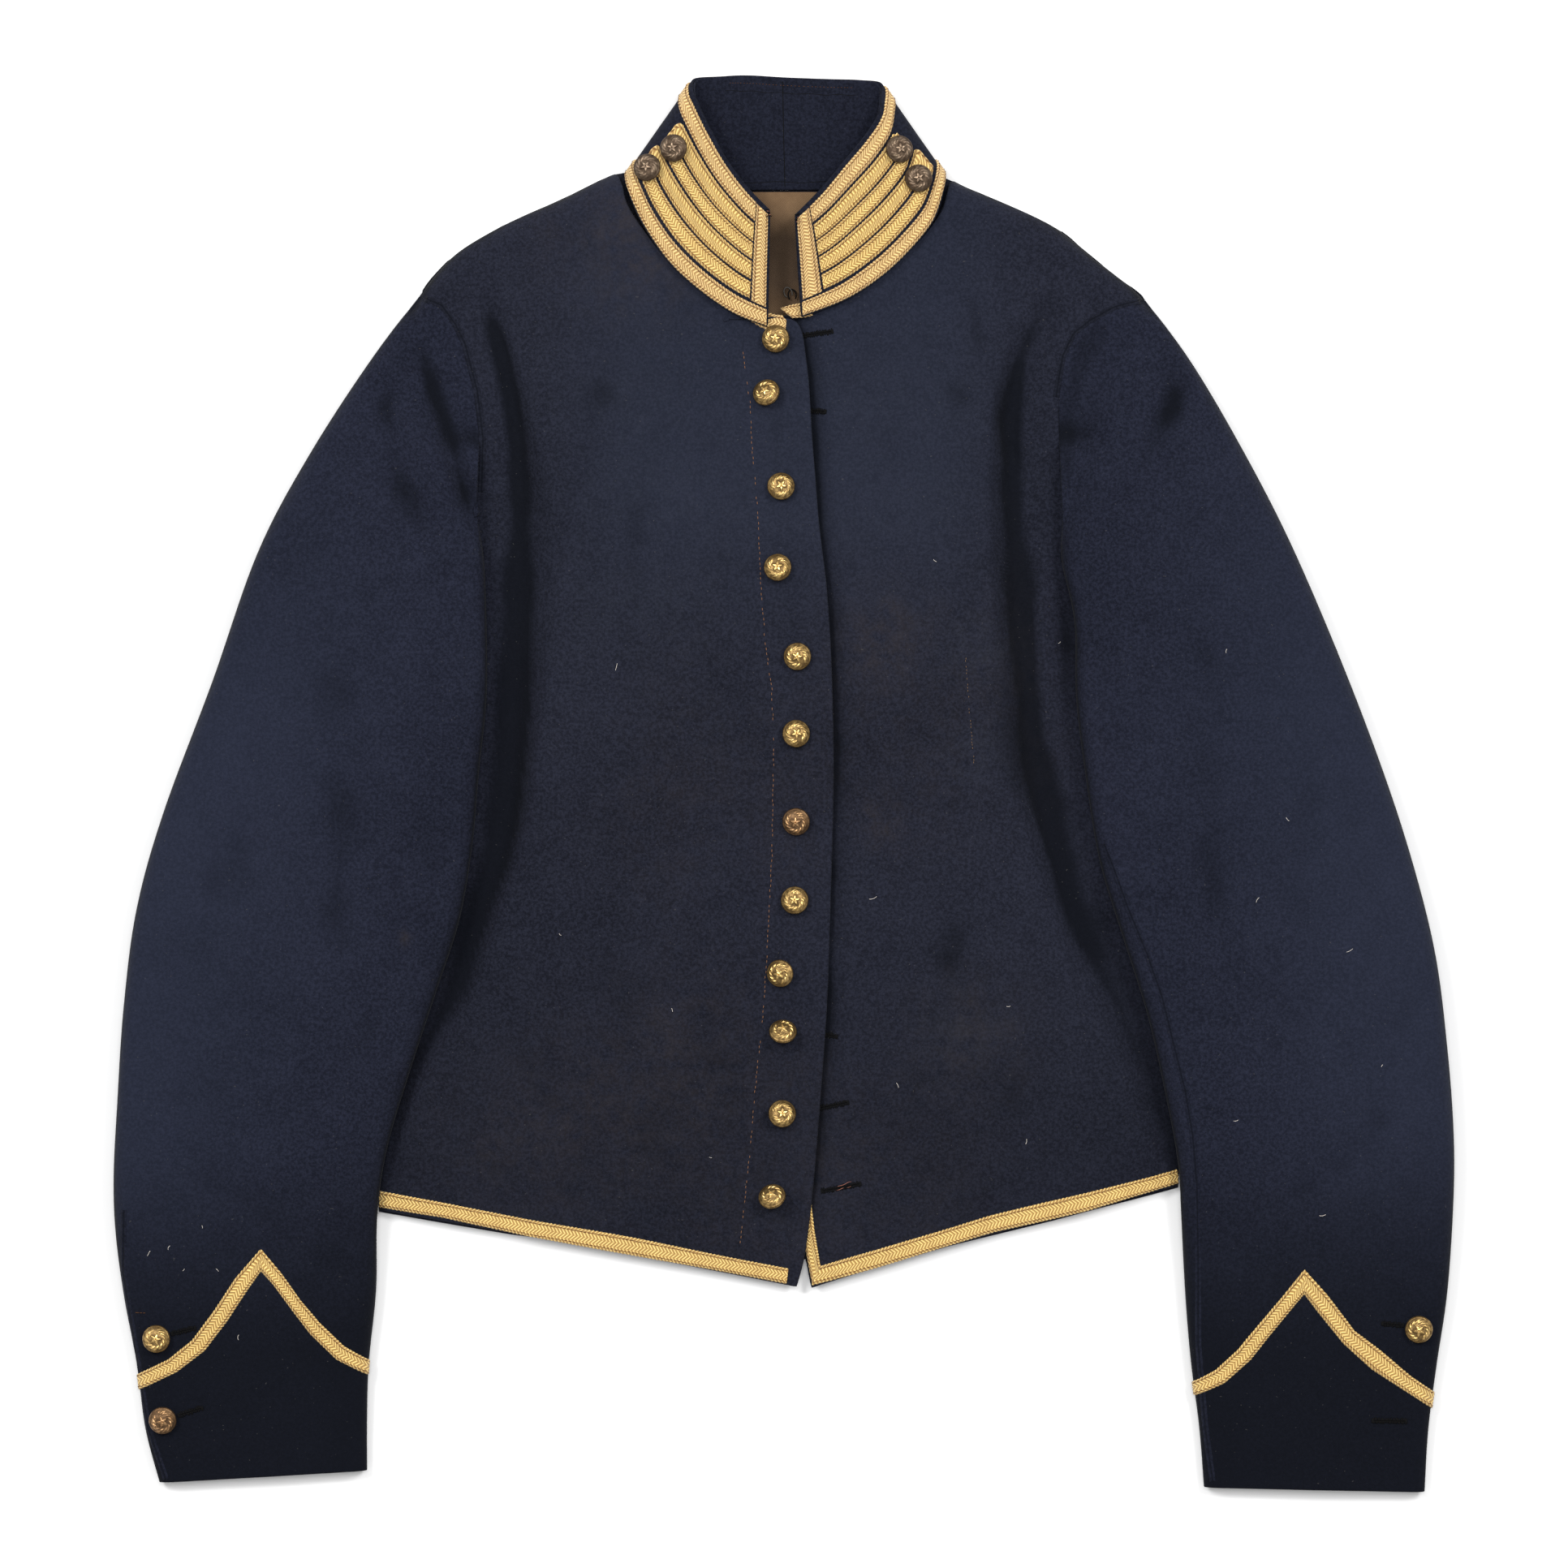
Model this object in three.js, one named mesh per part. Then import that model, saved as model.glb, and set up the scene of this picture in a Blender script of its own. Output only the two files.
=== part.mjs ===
import * as THREE from "three";

// A short wool shell jacket laid flat on its back, buttoned front up, sleeves over its sides.
// Millimetres: +X to the wearer's left, +Y towards the collar, +Z up from the table.

// Driving sizes
const CLOTH = 2; // one wall of wool with its lining
const SEAM = 0.3; // gap between neighbouring pieces
const BACK_TOP = CLOTH;
const FRONT_REST = BACK_TOP + SEAM; // lowest a front reaches, on the back
const FRONT_RIM = 0.7; // least thickness of a front where it meets the back
const SHOULDER_ROLL = 12; // how far in from the shoulder line the front rounds over
const LAP_DROP = 3.8; // how far the left front dips to pass under the right one
const LAP_WIDTH = 13;
const SLEEVE_ROLL = 8; // half width of a sleeve's rounded edge
const ROLL_SHARE = 0.2; // share of a sleeve's or front's grid spent on its rounded edge
const SLEEVE_LOFT = 4; // least hollow inside a sleeve
const SLEEVE_CLEAR = 1.3; // sleeve above the front that it lies on
const COVER_HOLD = 15; // how far past the side seam a sleeve stays up
const COVER_RAMP = 22; // and how far it then takes to reach the table
const HEM_DROP = 30; // fall of the front's hem from the side seam to the middle
const SLEEVE_TOP_Y = 202; // above this a sleeve's under layer lies on the table
const SLEEVE_LIFT_Y = 159; // below this it lies on the front
const COLLAR_PLY = 1.35;
const PLY_GAP = 0.15; // each collar layer from the band's middle
const LACE = { under: 0.4, over: 1.3 };
const COLLAR_LACE = { under: PLY_GAP + COLLAR_PLY + 0.4, over: PLY_GAP + COLLAR_PLY + 1.2 };
const LINING = { low: BACK_TOP + SEAM, high: BACK_TOP + 1.4 };
const LINING_ENDS = { topY: 317.4, topHalf: 38, lowY: 240, lowHalf: 34 };
const BUTTON_RADIUS = 7.4;
const BUTTON_SIDES = 12;
const SHANK_RADIUS = 2.2;
const SHANK_LENGTH = 1.7;

const navy = { color: 0x20263a, roughness: 0.95 };
const navySleeve = { color: 0x232c44, roughness: 0.95 };
const yellow = { color: 0xe4be6e, roughness: 0.8 };
const tan = { color: 0x8c7355, roughness: 0.9 };
const brass = { color: 0xb08d3f, roughness: 0.38, metalness: 1 };
const dullBrass = { color: 0x6e5a42, roughness: 0.55, metalness: 1 };

// Tables: one row for each section or corner, with named columns
function table(names, rows) {
  const columns = names.split(" ");
  return rows.map((row) => Object.fromEntries(columns.map((name, i) => [name, row[i]])));
}

const shoulder = {
  right: table("x y", [
    [-200, 254.5],
    [-194.5, 263],
    [-180, 280.5],
    [-154, 298],
    [-114, 316],
    [-93, 326.5],
    [-82.5, 330],
  ]),
  left: table("x y", [
    [81.5, 328],
    [95.5, 321],
    [108, 316],
    [146.5, 298],
    [168, 280.5],
    [189, 264],
    [197.5, 255.5],
  ]),
};

// Armhole seam from the shoulder point down to where the sleeve's fold hides it
const armhole = {
  right: table("x y", [
    [-194.5, 262.5],
    [-184.5, 257.5],
    [-177.5, 247],
    [-172, 235.5],
    [-165.5, 210],
    [-162.5, 185],
    [-163.5, 160],
    [-164, 140.5],
  ]),
  left: table("x y", [
    [193.5, 260],
    [178, 256.5],
    [165, 249.5],
    [156.5, 242.5],
    [150.5, 229.5],
    [147, 206.5],
    [147.5, 176.5],
    [149, 140.5],
  ]),
};

// Lower armhole, underarm and side seam, under the sleeve
const side = {
  right: table("x y", [
    [-164, 140.5],
    [-175.5, 123.5],
    [-200, 112],
    [-228.5, 105],
    [-234, 80.5],
    [-234.5, 46],
    [-230, 2.5],
    [-224, -50],
    [-220, -110.5],
    [-218, -171.5],
    [-217, -228],
  ]),
  left: table("x y", [
    [149, 140.5],
    [160, 123.5],
    [189, 112],
    [227, 105],
    [233.5, 80.5],
    [233.5, 46],
    [230, 2.5],
    [222.5, -50],
    [215.5, -110.5],
    [212.5, -171.5],
    [211.5, -215],
  ]),
};

// Height of the laid body across its width: at the seam, in the trough beside the sleeve, and on
// the shelf where the chest begins
const body = {
  right: table("y edgeZ trough troughZ shelf shelfZ", [
    [263, 14, -162.5, 15, -150, 16.5],
    [227.5, 15, -150.5, 13, -141.5, 18.5],
    [179.5, 13.5, -143.5, 11.5, -129.5, 20.5],
    [141.5, 9, -145, 9, -120, 22],
    [106.5, 4.5, -146, 8.5, -118.5, 22.5],
    [24, 4.5, -146, 8.5, -127.5, 22.5],
    [-15, 4.5, -148, 8.5, -133.5, 21.5],
    [-70, 4.5, -163.5, 8, -148, 19],
    [-113, 4.5, -176.5, 8, -162.5, 16.5],
    [-159.5, 4.5, -202.5, 7.5, -192, 13.5],
    [-202, 4.5, -212, 7, -202, 11],
    [-228, 4.5, -214, 6.5, -198, 9],
  ]),
  left: table("y edgeZ trough troughZ shelf shelfZ", [
    [260, 14, 142, 15.5, 130, 17],
    [227.5, 14, 128, 12.5, 116, 19],
    [179.5, 11, 124.5, 9.5, 108, 21],
    [141.5, 9, 126, 8.5, 108, 22],
    [106, 4.5, 127, 8.5, 109, 22.5],
    [50, 4.5, 131.5, 8.5, 117, 22.5],
    [4.5, 4.5, 136.5, 8.5, 122, 21.5],
    [-41, 4.5, 147.5, 8.5, 132, 20],
    [-80, 4.5, 160.5, 8, 144, 18],
    [-123.5, 4.5, 182.5, 8, 167, 16],
    [-167, 4.5, 197.5, 7.5, 186, 13],
    [-202, 4.5, 205, 7, 196, 10.5],
    [-219, 4.5, 207, 6.5, 193, 9],
  ]),
};

const centreHeight = table("y z", [
  [260, 15],
  [200, 18],
  [141, 21],
  [60, 23],
  [-20, 23],
  [-90, 20.5],
  [-150, 16],
  [-200, 12.5],
  [-240, 10.5],
  [-270, 9.5],
]);

// Free edge of the right front, which laps over the left one
const lapEdge = table("y x", [
  [247.5, 5.5],
  [233, 10],
  [215.5, 12.5],
  [184.5, 14.5],
  [141.5, 18],
  [91.5, 23.5],
  [25, 26],
  [-58.5, 24.5],
  [-131, 22],
  [-172, 18],
  [-206.5, 14.5],
  [-233.5, 11.5],
  [-254.5, 9.5],
  [-269, 6.5],
]);

// Rows of each front from the shoulder to the hem: outer end at the seam, inner end at the
// neckline or free edge, and how far the row bows up in between
const front = {
  right: table("outX outY inX inY bow", [
    [-90.5, 327, -89, 326.2, 0],
    [-95, 325.3, -87, 320.5, 0],
    [-114, 315.9, -84, 309.5, 0],
    [-139.4, 304.6, -74.5, 295, 0],
    [-161.1, 293.7, -62.4, 279.8, 0],
    [-180.2, 280.5, -50.2, 268.5, 0],
    [-194.4, 262.8, -35, 258.5, 0],
    [-184.5, 257.5, -26, 254, 0],
    [-177.5, 247, -15, 248.8, 0],
    [-173.8, 239.8, 6, 247.3, 0],
    [-168.5, 222, 11.4, 226, 0],
    [-164.4, 203, 13.3, 205, 0],
    [-162.5, 185, 14.5, 184.5, 0],
    [-163.5, 160, 16.5, 159.5, 0],
    [-164, 140.5, 18, 141, 0],
    [-175.5, 123.5, 20, 124, 0],
    [-200, 112, 21.5, 112, 0],
    [-228.5, 105, 22.3, 104, 0],
    [-234, 80.5, 24, 80, 0],
    [-234.5, 46, 25.3, 46, 0],
    [-230, 2.5, 26, 2.5, 0],
    [-224, -50, 24.7, -50, 0],
    [-220, -110.5, 22.8, -110.5, 0],
    [-218.5, -160, 19.5, -162, 0],
    [-217.5, -195, 15.5, -212, 0],
    [-217, -215, 11, -250, 0],
    [-217, -228, 6.5, -269, 1],
  ]),
  left: table("outX outY inX inY bow", [
    [91, 323.4, 89.5, 322.6, 0],
    [98, 320, 88, 315.5, 0],
    [114, 313.3, 84.5, 305.5, 0],
    [146.5, 298, 74.5, 292, 0],
    [160, 287.4, 60.5, 279.5, 0],
    [176, 274.3, 45.5, 267, 0],
    [193.2, 260.3, 28, 257, 0],
    [178, 256.5, 10, 251.4, 0],
    [165, 249.5, -10, 249.4, 0],
    [156.5, 242.5, -9.8, 243, 0],
    [150.5, 229.5, -9, 229, 0],
    [147, 206.5, -8.3, 206.5, 0],
    [147, 185, -7.5, 185, 0],
    [148, 160, -6.5, 160, 0],
    [149, 140.5, -6, 140.5, 0],
    [160, 123.5, -5.6, 123.5, 0],
    [189, 112, -5.3, 112, 0],
    [227, 105, -5, 104, 0],
    [233.5, 80.5, -4.4, 80.5, 0],
    [233.5, 46, -3.8, 46, 0],
    [230, 2.5, -3.2, 2.5, 0],
    [222.5, -50, -2.3, -50, 0],
    [215.5, -110.5, -1.4, -110.5, 0],
    [212.7, -160, -0.2, -164, 0],
    [212, -185, 1.5, -208, 0],
    [211.5, -203, 8.5, -236, 0],
    [211.5, -215, 15, -269.5, 2],
  ]),
};

const backNeck = table("x y", [
  [84, 326.4],
  [66, 321.6],
  [36, 318.5],
  [0, 318],
  [-36, 318.3],
  [-66, 321.8],
  [-83, 328.4],
]);

const backHem = table("x y", [
  [-217, -229.5],
  [-147, -241.5],
  [-80, -250],
  [8, -255],
  [80, -250],
  [147, -233.5],
  [211.5, -216.5],
]);

// Sleeve stations from the armhole to the cuff: outer edge, inner edge, height of the top
const sleeve = {
  right: table("outX outY inX inY top", [
    [-197, 262, -164, 140.5, 15],
    [-221, 228.5, -160.5, 122.5, 24],
    [-254, 176.5, -159, 89.5, 28],
    [-281.5, 124, -159, 46, 29],
    [-306, 54.5, -163, 6.5, 29],
    [-332, -15, -166.5, -32.5, 28],
    [-346.5, -67, -173.5, -73, 28],
    [-353.5, -119.5, -186.5, -113, 27],
    [-357, -171.5, -200, -154, 26],
    [-359, -210.5, -212, -194, 24],
    [-358, -241, -217.5, -229.5, 22],
    [-353.5, -276, -218.5, -271.5, 18],
    [-347, -310.5, -222.5, -310.5, 15],
    [-342.5, -345.5, -223.5, -341, 13],
    [-335, -374.5, -223.5, -368, 11.5],
  ]),
  left: table("outX outY inX inY top", [
    [194.5, 260, 149, 140.5, 15],
    [217, 228.5, 148.5, 120, 24],
    [242.5, 185, 155.5, 87, 28],
    [269.5, 133, 156.5, 46, 29],
    [296, 72, 161.5, 4.5, 29],
    [319.5, 11, 169, -41, 28],
    [336.5, -41, 182, -83.5, 28],
    [349, -91, 194.5, -123, 27],
    [355.5, -141, 203.5, -162, 26],
    [359, -186.5, 211, -202, 24],
    [359, -223.5, 213, -232.5, 22],
    [356, -271.5, 215.5, -276, 18],
    [350.5, -310.5, 218.5, -310.5, 15],
    [346, -345.5, 223, -345.5, 13],
    [344, -379.5, 225.5, -377, 11.5],
  ]),
};
const SEAM_STATIONS = 3; // stations over which a sleeve's rows straighten from the armhole's curve

// The standing collar, opened out: neck seam and top edge from the right end round to the left
const collar = table("neckX neckY neckZ topX topY topZ", [
  [-8.9, 245, 18, -7.6, 305.9, 26],
  [-26.3, 252, 18, -19.8, 318.5, 26],
  [-45, 264.6, 18, -30.7, 333.3, 25.5],
  [-61.5, 279.8, 18, -39.8, 350.2, 24],
  [-75, 299.3, 18, -45.9, 363.3, 21],
  [-82, 315.4, 17.6, -48.5, 371, 17],
  [-82.4, 326.8, 8, -46.7, 377.2, 10],
  [-66.7, 323.3, 3.6, -35, 378.9, 5.5],
  [-37.2, 319.6, 3.3, -19.8, 379.6, 4.5],
  [0, 319.2, 3.3, 0, 378.5, 4.2],
  [36.7, 319.8, 3.3, 23.7, 377.6, 4.5],
  [68, 323.4, 3.6, 42, 377, 5.5],
  [83.7, 327.6, 8, 51.5, 374.6, 9],
  [85, 317.2, 17.2, 52, 364.1, 16],
  [80.2, 302, 18, 49.8, 355.4, 20],
  [68.9, 287.6, 18, 42, 343.7, 23],
  [52.4, 272, 18, 32.4, 332, 25],
  [32.4, 259, 18, 19.3, 316.3, 26],
  [9.8, 250.2, 18, 6.3, 303.3, 26],
]);
const COLLAR_END = collar.length - 1;

// Laces are strips between an upper and a lower edge
const hemLace = {
  right: table("upX upY downX downY", [
    [-214.5, -219, -215, -227.5],
    [-181.5, -225, -183, -232.5],
    [-134, -234, -136.5, -243],
    [-80.5, -243.5, -82.5, -252.5],
    [2.5, -260, 1.5, -268],
  ]),
  left: table("upX upY downX downY", [
    [20, -258.5, 15.6, -268.8],
    [50, -250, 51.5, -259],
    [110.5, -231.5, 113, -240.5],
    [160.5, -220, 162.5, -229],
    [209, -207.5, 210, -215],
  ]),
};

const frontEdgeLace = table("upX upY downX downY", [
  [12, -196, 2, -196],
  [14, -220, 5, -220],
  [16.5, -240, 9.8, -240],
  [19.4, -258.2, 15.1, -268.4],
]);

const cuffLace = {
  right: table("upX upY downX downY", [
    [-343, -316, -342, -324.5],
    [-329.5, -308.5, -325, -315],
    [-316.5, -298, -310, -303.5],
    [-304.5, -281.5, -297.5, -287.5],
    [-293.5, -264.5, -286.5, -271],
    [-279.5, -248.5, -279.5, -261],
    [-268.5, -262, -273, -268],
    [-258.5, -276.5, -263.5, -281],
    [-248.5, -288.5, -253.5, -294.5],
    [-235.5, -301, -239.5, -308.5],
    [-225.5, -307, -226.5, -315.5],
  ]),
  left: table("upX upY downX downY", [
    [221.5, -319.5, 223, -327],
    [231.5, -314, 236, -321],
    [243, -303.5, 250, -308.5],
    [253.5, -290.5, 259.5, -296.5],
    [267.5, -273.5, 273.5, -279.5],
    [278.5, -259.5, 278.5, -273.5],
    [291, -273.5, 285, -282],
    [305.5, -293, 299.5, -299.5],
    [320, -304, 315, -313.5],
    [335.5, -317, 331.5, -324.5],
    [345.5, -324.5, 344, -333.5],
  ]),
};

const frontButtons = table("x y tilt", [
  [-4, 238, 0],
  [-8.5, 208, 0],
  [-1.5, 158.5, 0],
  [-3, 115, 0],
  [7.5, 68, 0],
  [6.5, 26.5, 0],
  [7, -20, 0],
  [6, -62.5, 0],
  [-1, -101, 0],
  [-0.5, -134, 40],
  [-1, -177, 15],
  [-5.5, -222.5, 36],
]);

// Around and up the collar, in its stations and from neck 0 to top 1
const collarButtons = table("around up", [
  [4.07, 0.61],
  [4.8, 0.28],
  [13.89, 0.66],
  [13.72, 0.33],
]);

// False buttonholes of the collar: their tips and shoulders in stations from the front edge, and
// the heights of their two rows of lace
const collarLoops = table("name shoulder slitEnd tip low slitLow slitHigh high", [
  ["upper", 3.7, 3.55, 4.45, 0.49, 0.625, 0.64, 0.785],
  ["lower", 4.25, 4.1, 5.05, 0.17, 0.305, 0.33, 0.475],
]);
const LOOP_START = 0.62;

const cuffButtons = {
  right: table("x y", [
    [-335.5, -297],
    [-332.5, -340.5],
  ]),
  left: table("x y", [[340, -291.5]]),
};

// Interpolation
const lerp = THREE.MathUtils.lerp;
const clamp = THREE.MathUtils.clamp;
const smooth = (x, low, high) => THREE.MathUtils.smoothstep(x, low, high);

function cubic(p0, p1, p2, p3, t) {
  const m1 = (p2 - p0) / 2;
  const m2 = (p3 - p1) / 2;
  const a = 2 * (p1 - p2) + m1 + m2;
  const b = 3 * (p2 - p1) - 2 * m1 - m2;
  return ((a * t + b) * t + m1) * t + p1;
}

// One row between the table's rows, each column on a smooth curve
function between(rows, position) {
  const last = rows.length - 1;
  const i = clamp(Math.floor(position), 0, last - 1);
  const four = [Math.max(i - 1, 0), i, i + 1, Math.min(i + 2, last)].map((k) => rows[k]);
  const row = {};
  for (const name of Object.keys(rows[0])) {
    const [p0, p1, p2, p3] = four.map((r) => r[name]);
    row[name] = cubic(p0, p1, p2, p3, clamp(position - i, 0, 1));
  }
  return row;
}

// The row at a value of its first column, on straight lines between rows and beyond the ends held
function at(rows, key, value) {
  const rising = rows[rows.length - 1][key] > rows[0][key];
  let i = 0;
  while (i < rows.length - 2 && rising === value > rows[i + 1][key]) {
    i += 1;
  }
  const span = rows[i + 1][key] - rows[i][key];
  const row = {};
  for (const name of Object.keys(rows[0])) {
    row[name] = lerp(rows[i][name], rows[i + 1][name], clamp((value - rows[i][key]) / span, 0, 1));
  }
  return row;
}

// A point a share of the way along a line of points
function pointAlong(points, share) {
  const lengths = points.slice(1).map((p, i) => Math.hypot(p.x - points[i].x, p.y - points[i].y));
  let left = share * lengths.reduce((sum, length) => sum + length, 0);
  let i = 0;
  while (i < lengths.length - 1 && left > lengths[i]) {
    left -= lengths[i];
    i += 1;
  }
  const t = left / lengths[i];
  return { x: lerp(points[i].x, points[i + 1].x, t), y: lerp(points[i].y, points[i + 1].y, t) };
}

const quarter = (share) => Math.sqrt(Math.max(0, 1 - (1 - clamp(share, 0, 1)) ** 2));

// Height of the body's outer face
const outline = {
  right: [...armhole.right, ...side.right.slice(1)],
  left: [...armhole.left, ...side.left.slice(1)],
};
const sideOf = (x) => (x < 0 ? "right" : "left");

function shoulderRound(x, y) {
  const rows = shoulder[sideOf(x)];
  const step = 2;
  const here = at(rows, "x", x).y;
  const slope = (at(rows, "x", x + step).y - at(rows, "x", x - step).y) / (2 * step);
  return quarter((here - y) / Math.hypot(1, slope) / SHOULDER_ROLL);
}

function bodyHeight(x, y) {
  const rows = body[sideOf(x)];
  const row = at(rows, "y", y);
  const edge = Math.abs(at(outline[sideOf(x)], "y", y).x);
  const out = Math.abs(x);
  const trough = Math.abs(row.trough);
  const shelf = Math.abs(row.shelf);
  let z;
  if (out > trough) {
    z = lerp(row.troughZ, row.edgeZ, clamp((out - trough) / (edge - trough), 0, 1));
  } else if (out > shelf) {
    z = lerp(row.troughZ, row.shelfZ, smooth(trough - out, 0, trough - shelf));
  } else {
    z = lerp(at(centreHeight, "y", y).z, row.shelfZ, (out / shelf) ** 2);
  }
  const rim = FRONT_REST + FRONT_RIM;
  return rim + (z - rim) * shoulderRound(x, y);
}

function leftFrontHeight(x, y) {
  const lap = at(lapEdge, "y", y).x;
  return bodyHeight(x, y) - LAP_DROP * smooth(lap + LAP_WIDTH - x, 0, LAP_WIDTH);
}

const frontHeight = { right: bodyHeight, left: leftFrontHeight };

// Grid share to distance across, with the first and last shares round an edge
function acrossRoll(share, width, roll, bothEnds) {
  const r = Math.min(roll, width / 3);
  if (share < ROLL_SHARE) {
    return r * (1 - Math.cos(((share / ROLL_SHARE) * Math.PI) / 2));
  }
  if (bothEnds && share > 1 - ROLL_SHARE) {
    return width - acrossRoll(1 - share, width, roll, false);
  }
  const flat = bothEnds ? 1 - 2 * ROLL_SHARE : 1 - ROLL_SHARE;
  const length = bothEnds ? width - 2 * r : width - r;
  return r + ((share - ROLL_SHARE) / flat) * length;
}

function frontPoint(hand, u, w) {
  const row = between(front[hand], u * (front[hand].length - 1));
  const width = Math.hypot(row.inX - row.outX, row.inY - row.outY);
  const share = acrossRoll(w, width, SHOULDER_ROLL, false) / width;
  const x = lerp(row.outX, row.inX, share);
  const y = lerp(row.outY, row.inY, share) + row.bow * 4 * share * (1 - share);
  return new THREE.Vector3(x, y, frontHeight[hand](x, y));
}

// Height of what a sleeve's under layer lies on: the front, or the table
function segmentDistance(x, y, a, b) {
  const dx = b.x - a.x;
  const dy = b.y - a.y;
  const t = clamp(((x - a.x) * dx + (y - a.y) * dy) / (dx * dx + dy * dy), 0, 1);
  return Math.hypot(x - a.x - t * dx, y - a.y - t * dy);
}

function coverHeight(hand, x, y) {
  const lowEdge = side[hand];
  const corner = lowEdge[lowEdge.length - 1];
  const hemEnd = { x: 0, y: corner.y - HEM_DROP };
  const edges = [...outline[hand], hemEnd];
  const distance = Math.min(...edges.slice(1).map((b, i) => segmentDistance(x, y, edges[i], b)));
  const edge = Math.abs(at(outline[hand], "y", y).x);
  const inside = Math.abs(x) < edge && y > corner.y;
  const outward = inside ? 0 : distance;
  const ramp = 1 - smooth(outward, COVER_HOLD, COVER_HOLD + COVER_RAMP);
  const lifted = 1 - smooth(y, SLEEVE_LIFT_Y, SLEEVE_TOP_Y);
  const flatX = Math.sign(x) * Math.min(Math.abs(x), edge);
  return (bodyHeight(flatX, Math.max(y, corner.y)) + SLEEVE_CLEAR) * ramp * lifted;
}

const seamShift = { right: { x: -0.6, y: -0.4 }, left: { x: 0.6, y: -0.6 } };

function sleevePlan(hand, u, share) {
  const row = between(sleeve[hand], u);
  const point = { x: lerp(row.outX, row.inX, share), y: lerp(row.outY, row.inY, share) };
  const curl = clamp(1 - u / SEAM_STATIONS, 0, 1) ** 2;
  if (curl > 0) {
    const seam = pointAlong(armhole[hand], share);
    const first = sleeve[hand][0];
    point.x += curl * (seam.x + seamShift[hand].x - lerp(first.outX, first.inX, share));
    point.y += curl * (seam.y + seamShift[hand].y - lerp(first.outY, first.inY, share));
  }
  return { ...point, row };
}

function sleevePoint(hand, layer, station, w) {
  const u = station * (sleeve[hand].length - 1);
  const ends = between(sleeve[hand], u);
  const width = Math.hypot(ends.inX - ends.outX, ends.inY - ends.outY);
  const distance = acrossRoll(w, width, SLEEVE_ROLL, true);
  const share = distance / width;
  const { x, y, row } = sleevePlan(hand, u, share);
  const low = coverHeight(hand, x, y);
  const joined = Math.max(bodyHeight(x, y), low + 2 * CLOTH + SLEEVE_LOFT);
  const full = row.top * (0.92 + 0.08 * Math.sin(Math.PI * share));
  const high = lerp(joined, full, smooth(u, 0.2, 1.3));
  const middle = (low + high) / 2;
  const roll = Math.min(SLEEVE_ROLL, width / 3);
  const round = quarter(Math.min(distance, width - distance) / roll);
  const half = (high - low) / 2 - SEAM / 2;
  const z = middle + layer * (SEAM / 2 + half * round);
  return new THREE.Vector3(x, y, z);
}

// The grid place on a sleeve that lies under a point of the plan
function sleeveSpot(hand, x, y) {
  let low = SEAM_STATIONS;
  let high = sleeve[hand].length - 1;
  for (let i = 0; i < 30; i += 1) {
    const u = (low + high) / 2;
    const row = between(sleeve[hand], u);
    const turn = (row.inX - row.outX) * (y - row.outY) - (row.inY - row.outY) * (x - row.outX);
    if (turn < 0 === (hand === "right")) {
      low = u;
    } else {
      high = u;
    }
  }
  const row = between(sleeve[hand], low);
  const width = Math.hypot(row.inX - row.outX, row.inY - row.outY);
  const along = ((x - row.outX) * (row.inX - row.outX) + (y - row.outY) * (row.inY - row.outY)) / width;
  const roll = Math.min(SLEEVE_ROLL, width / 3);
  const s = clamp(along, 0, width);
  let w = ROLL_SHARE + ((s - roll) / (width - 2 * roll)) * (1 - 2 * ROLL_SHARE);
  const edgeShare = (d) => (ROLL_SHARE * Math.acos(1 - d / roll) * 2) / Math.PI;
  if (s < roll) {
    w = edgeShare(s);
  } else if (s > width - roll) {
    w = 1 - edgeShare(width - s);
  }
  return { u: low / (sleeve[hand].length - 1), w };
}

function collarPoint(around, up) {
  const row = between(collar, around * COLLAR_END);
  return new THREE.Vector3(
    lerp(row.neckX, row.topX, up),
    lerp(row.neckY, row.topY, up),
    lerp(row.neckZ, row.topZ, up),
  );
}

// Surfaces: a point function of two shares with the way its outside faces
function normalAt(surface, share, v) {
  const step = 0.002;
  const u = Math.max(share, surface.steadyFrom ?? 0);
  const low = (t) => Math.max(t - step, 0);
  const high = (t) => Math.min(t + step, 1);
  const alongU = surface.point(high(u), v).sub(surface.point(low(u), v));
  const alongV = surface.point(u, high(v)).sub(surface.point(u, low(v)));
  return alongU.cross(alongV).normalize().multiplyScalar(surface.facing);
}

function raised(surface, u, v, offset) {
  return surface.point(u, v).addScaledVector(normalAt(surface, u, v), offset);
}

const frontSurface = {
  right: { point: (u, v) => frontPoint("right", u, v), facing: 1 },
  left: { point: (u, v) => frontPoint("left", u, v), facing: -1 },
};
// Where a sleeve's rows crowd together under the arm, its cloth faces as it does a little further down
const SEAM_SHARE = 0.8 / (sleeve.right.length - 1);
const topSleeveSurface = {
  right: { point: (u, v) => sleevePoint("right", 1, u, v), facing: 1, steadyFrom: SEAM_SHARE },
  left: { point: (u, v) => sleevePoint("left", 1, u, v), facing: -1, steadyFrom: SEAM_SHARE },
};
const underSleeveSurface = {
  right: { point: (u, v) => sleevePoint("right", -1, u, v), facing: -1, steadyFrom: SEAM_SHARE },
  left: { point: (u, v) => sleevePoint("left", -1, u, v), facing: 1, steadyFrom: SEAM_SHARE },
};
const collarSurface = { point: collarPoint, facing: -1 };

// The flat of a front as a surface of x and y
function raisedOnFront(hand, x, y, offset) {
  const height = frontHeight[hand];
  const step = 0.5;
  const slopeX = (height(x + step, y) - height(x - step, y)) / (2 * step);
  const slopeY = (height(x, y + step) - height(x, y - step)) / (2 * step);
  const normal = new THREE.Vector3(-slopeX, -slopeY, 1).normalize();
  return new THREE.Vector3(x, y, height(x, y)).addScaledVector(normal, offset);
}

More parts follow.
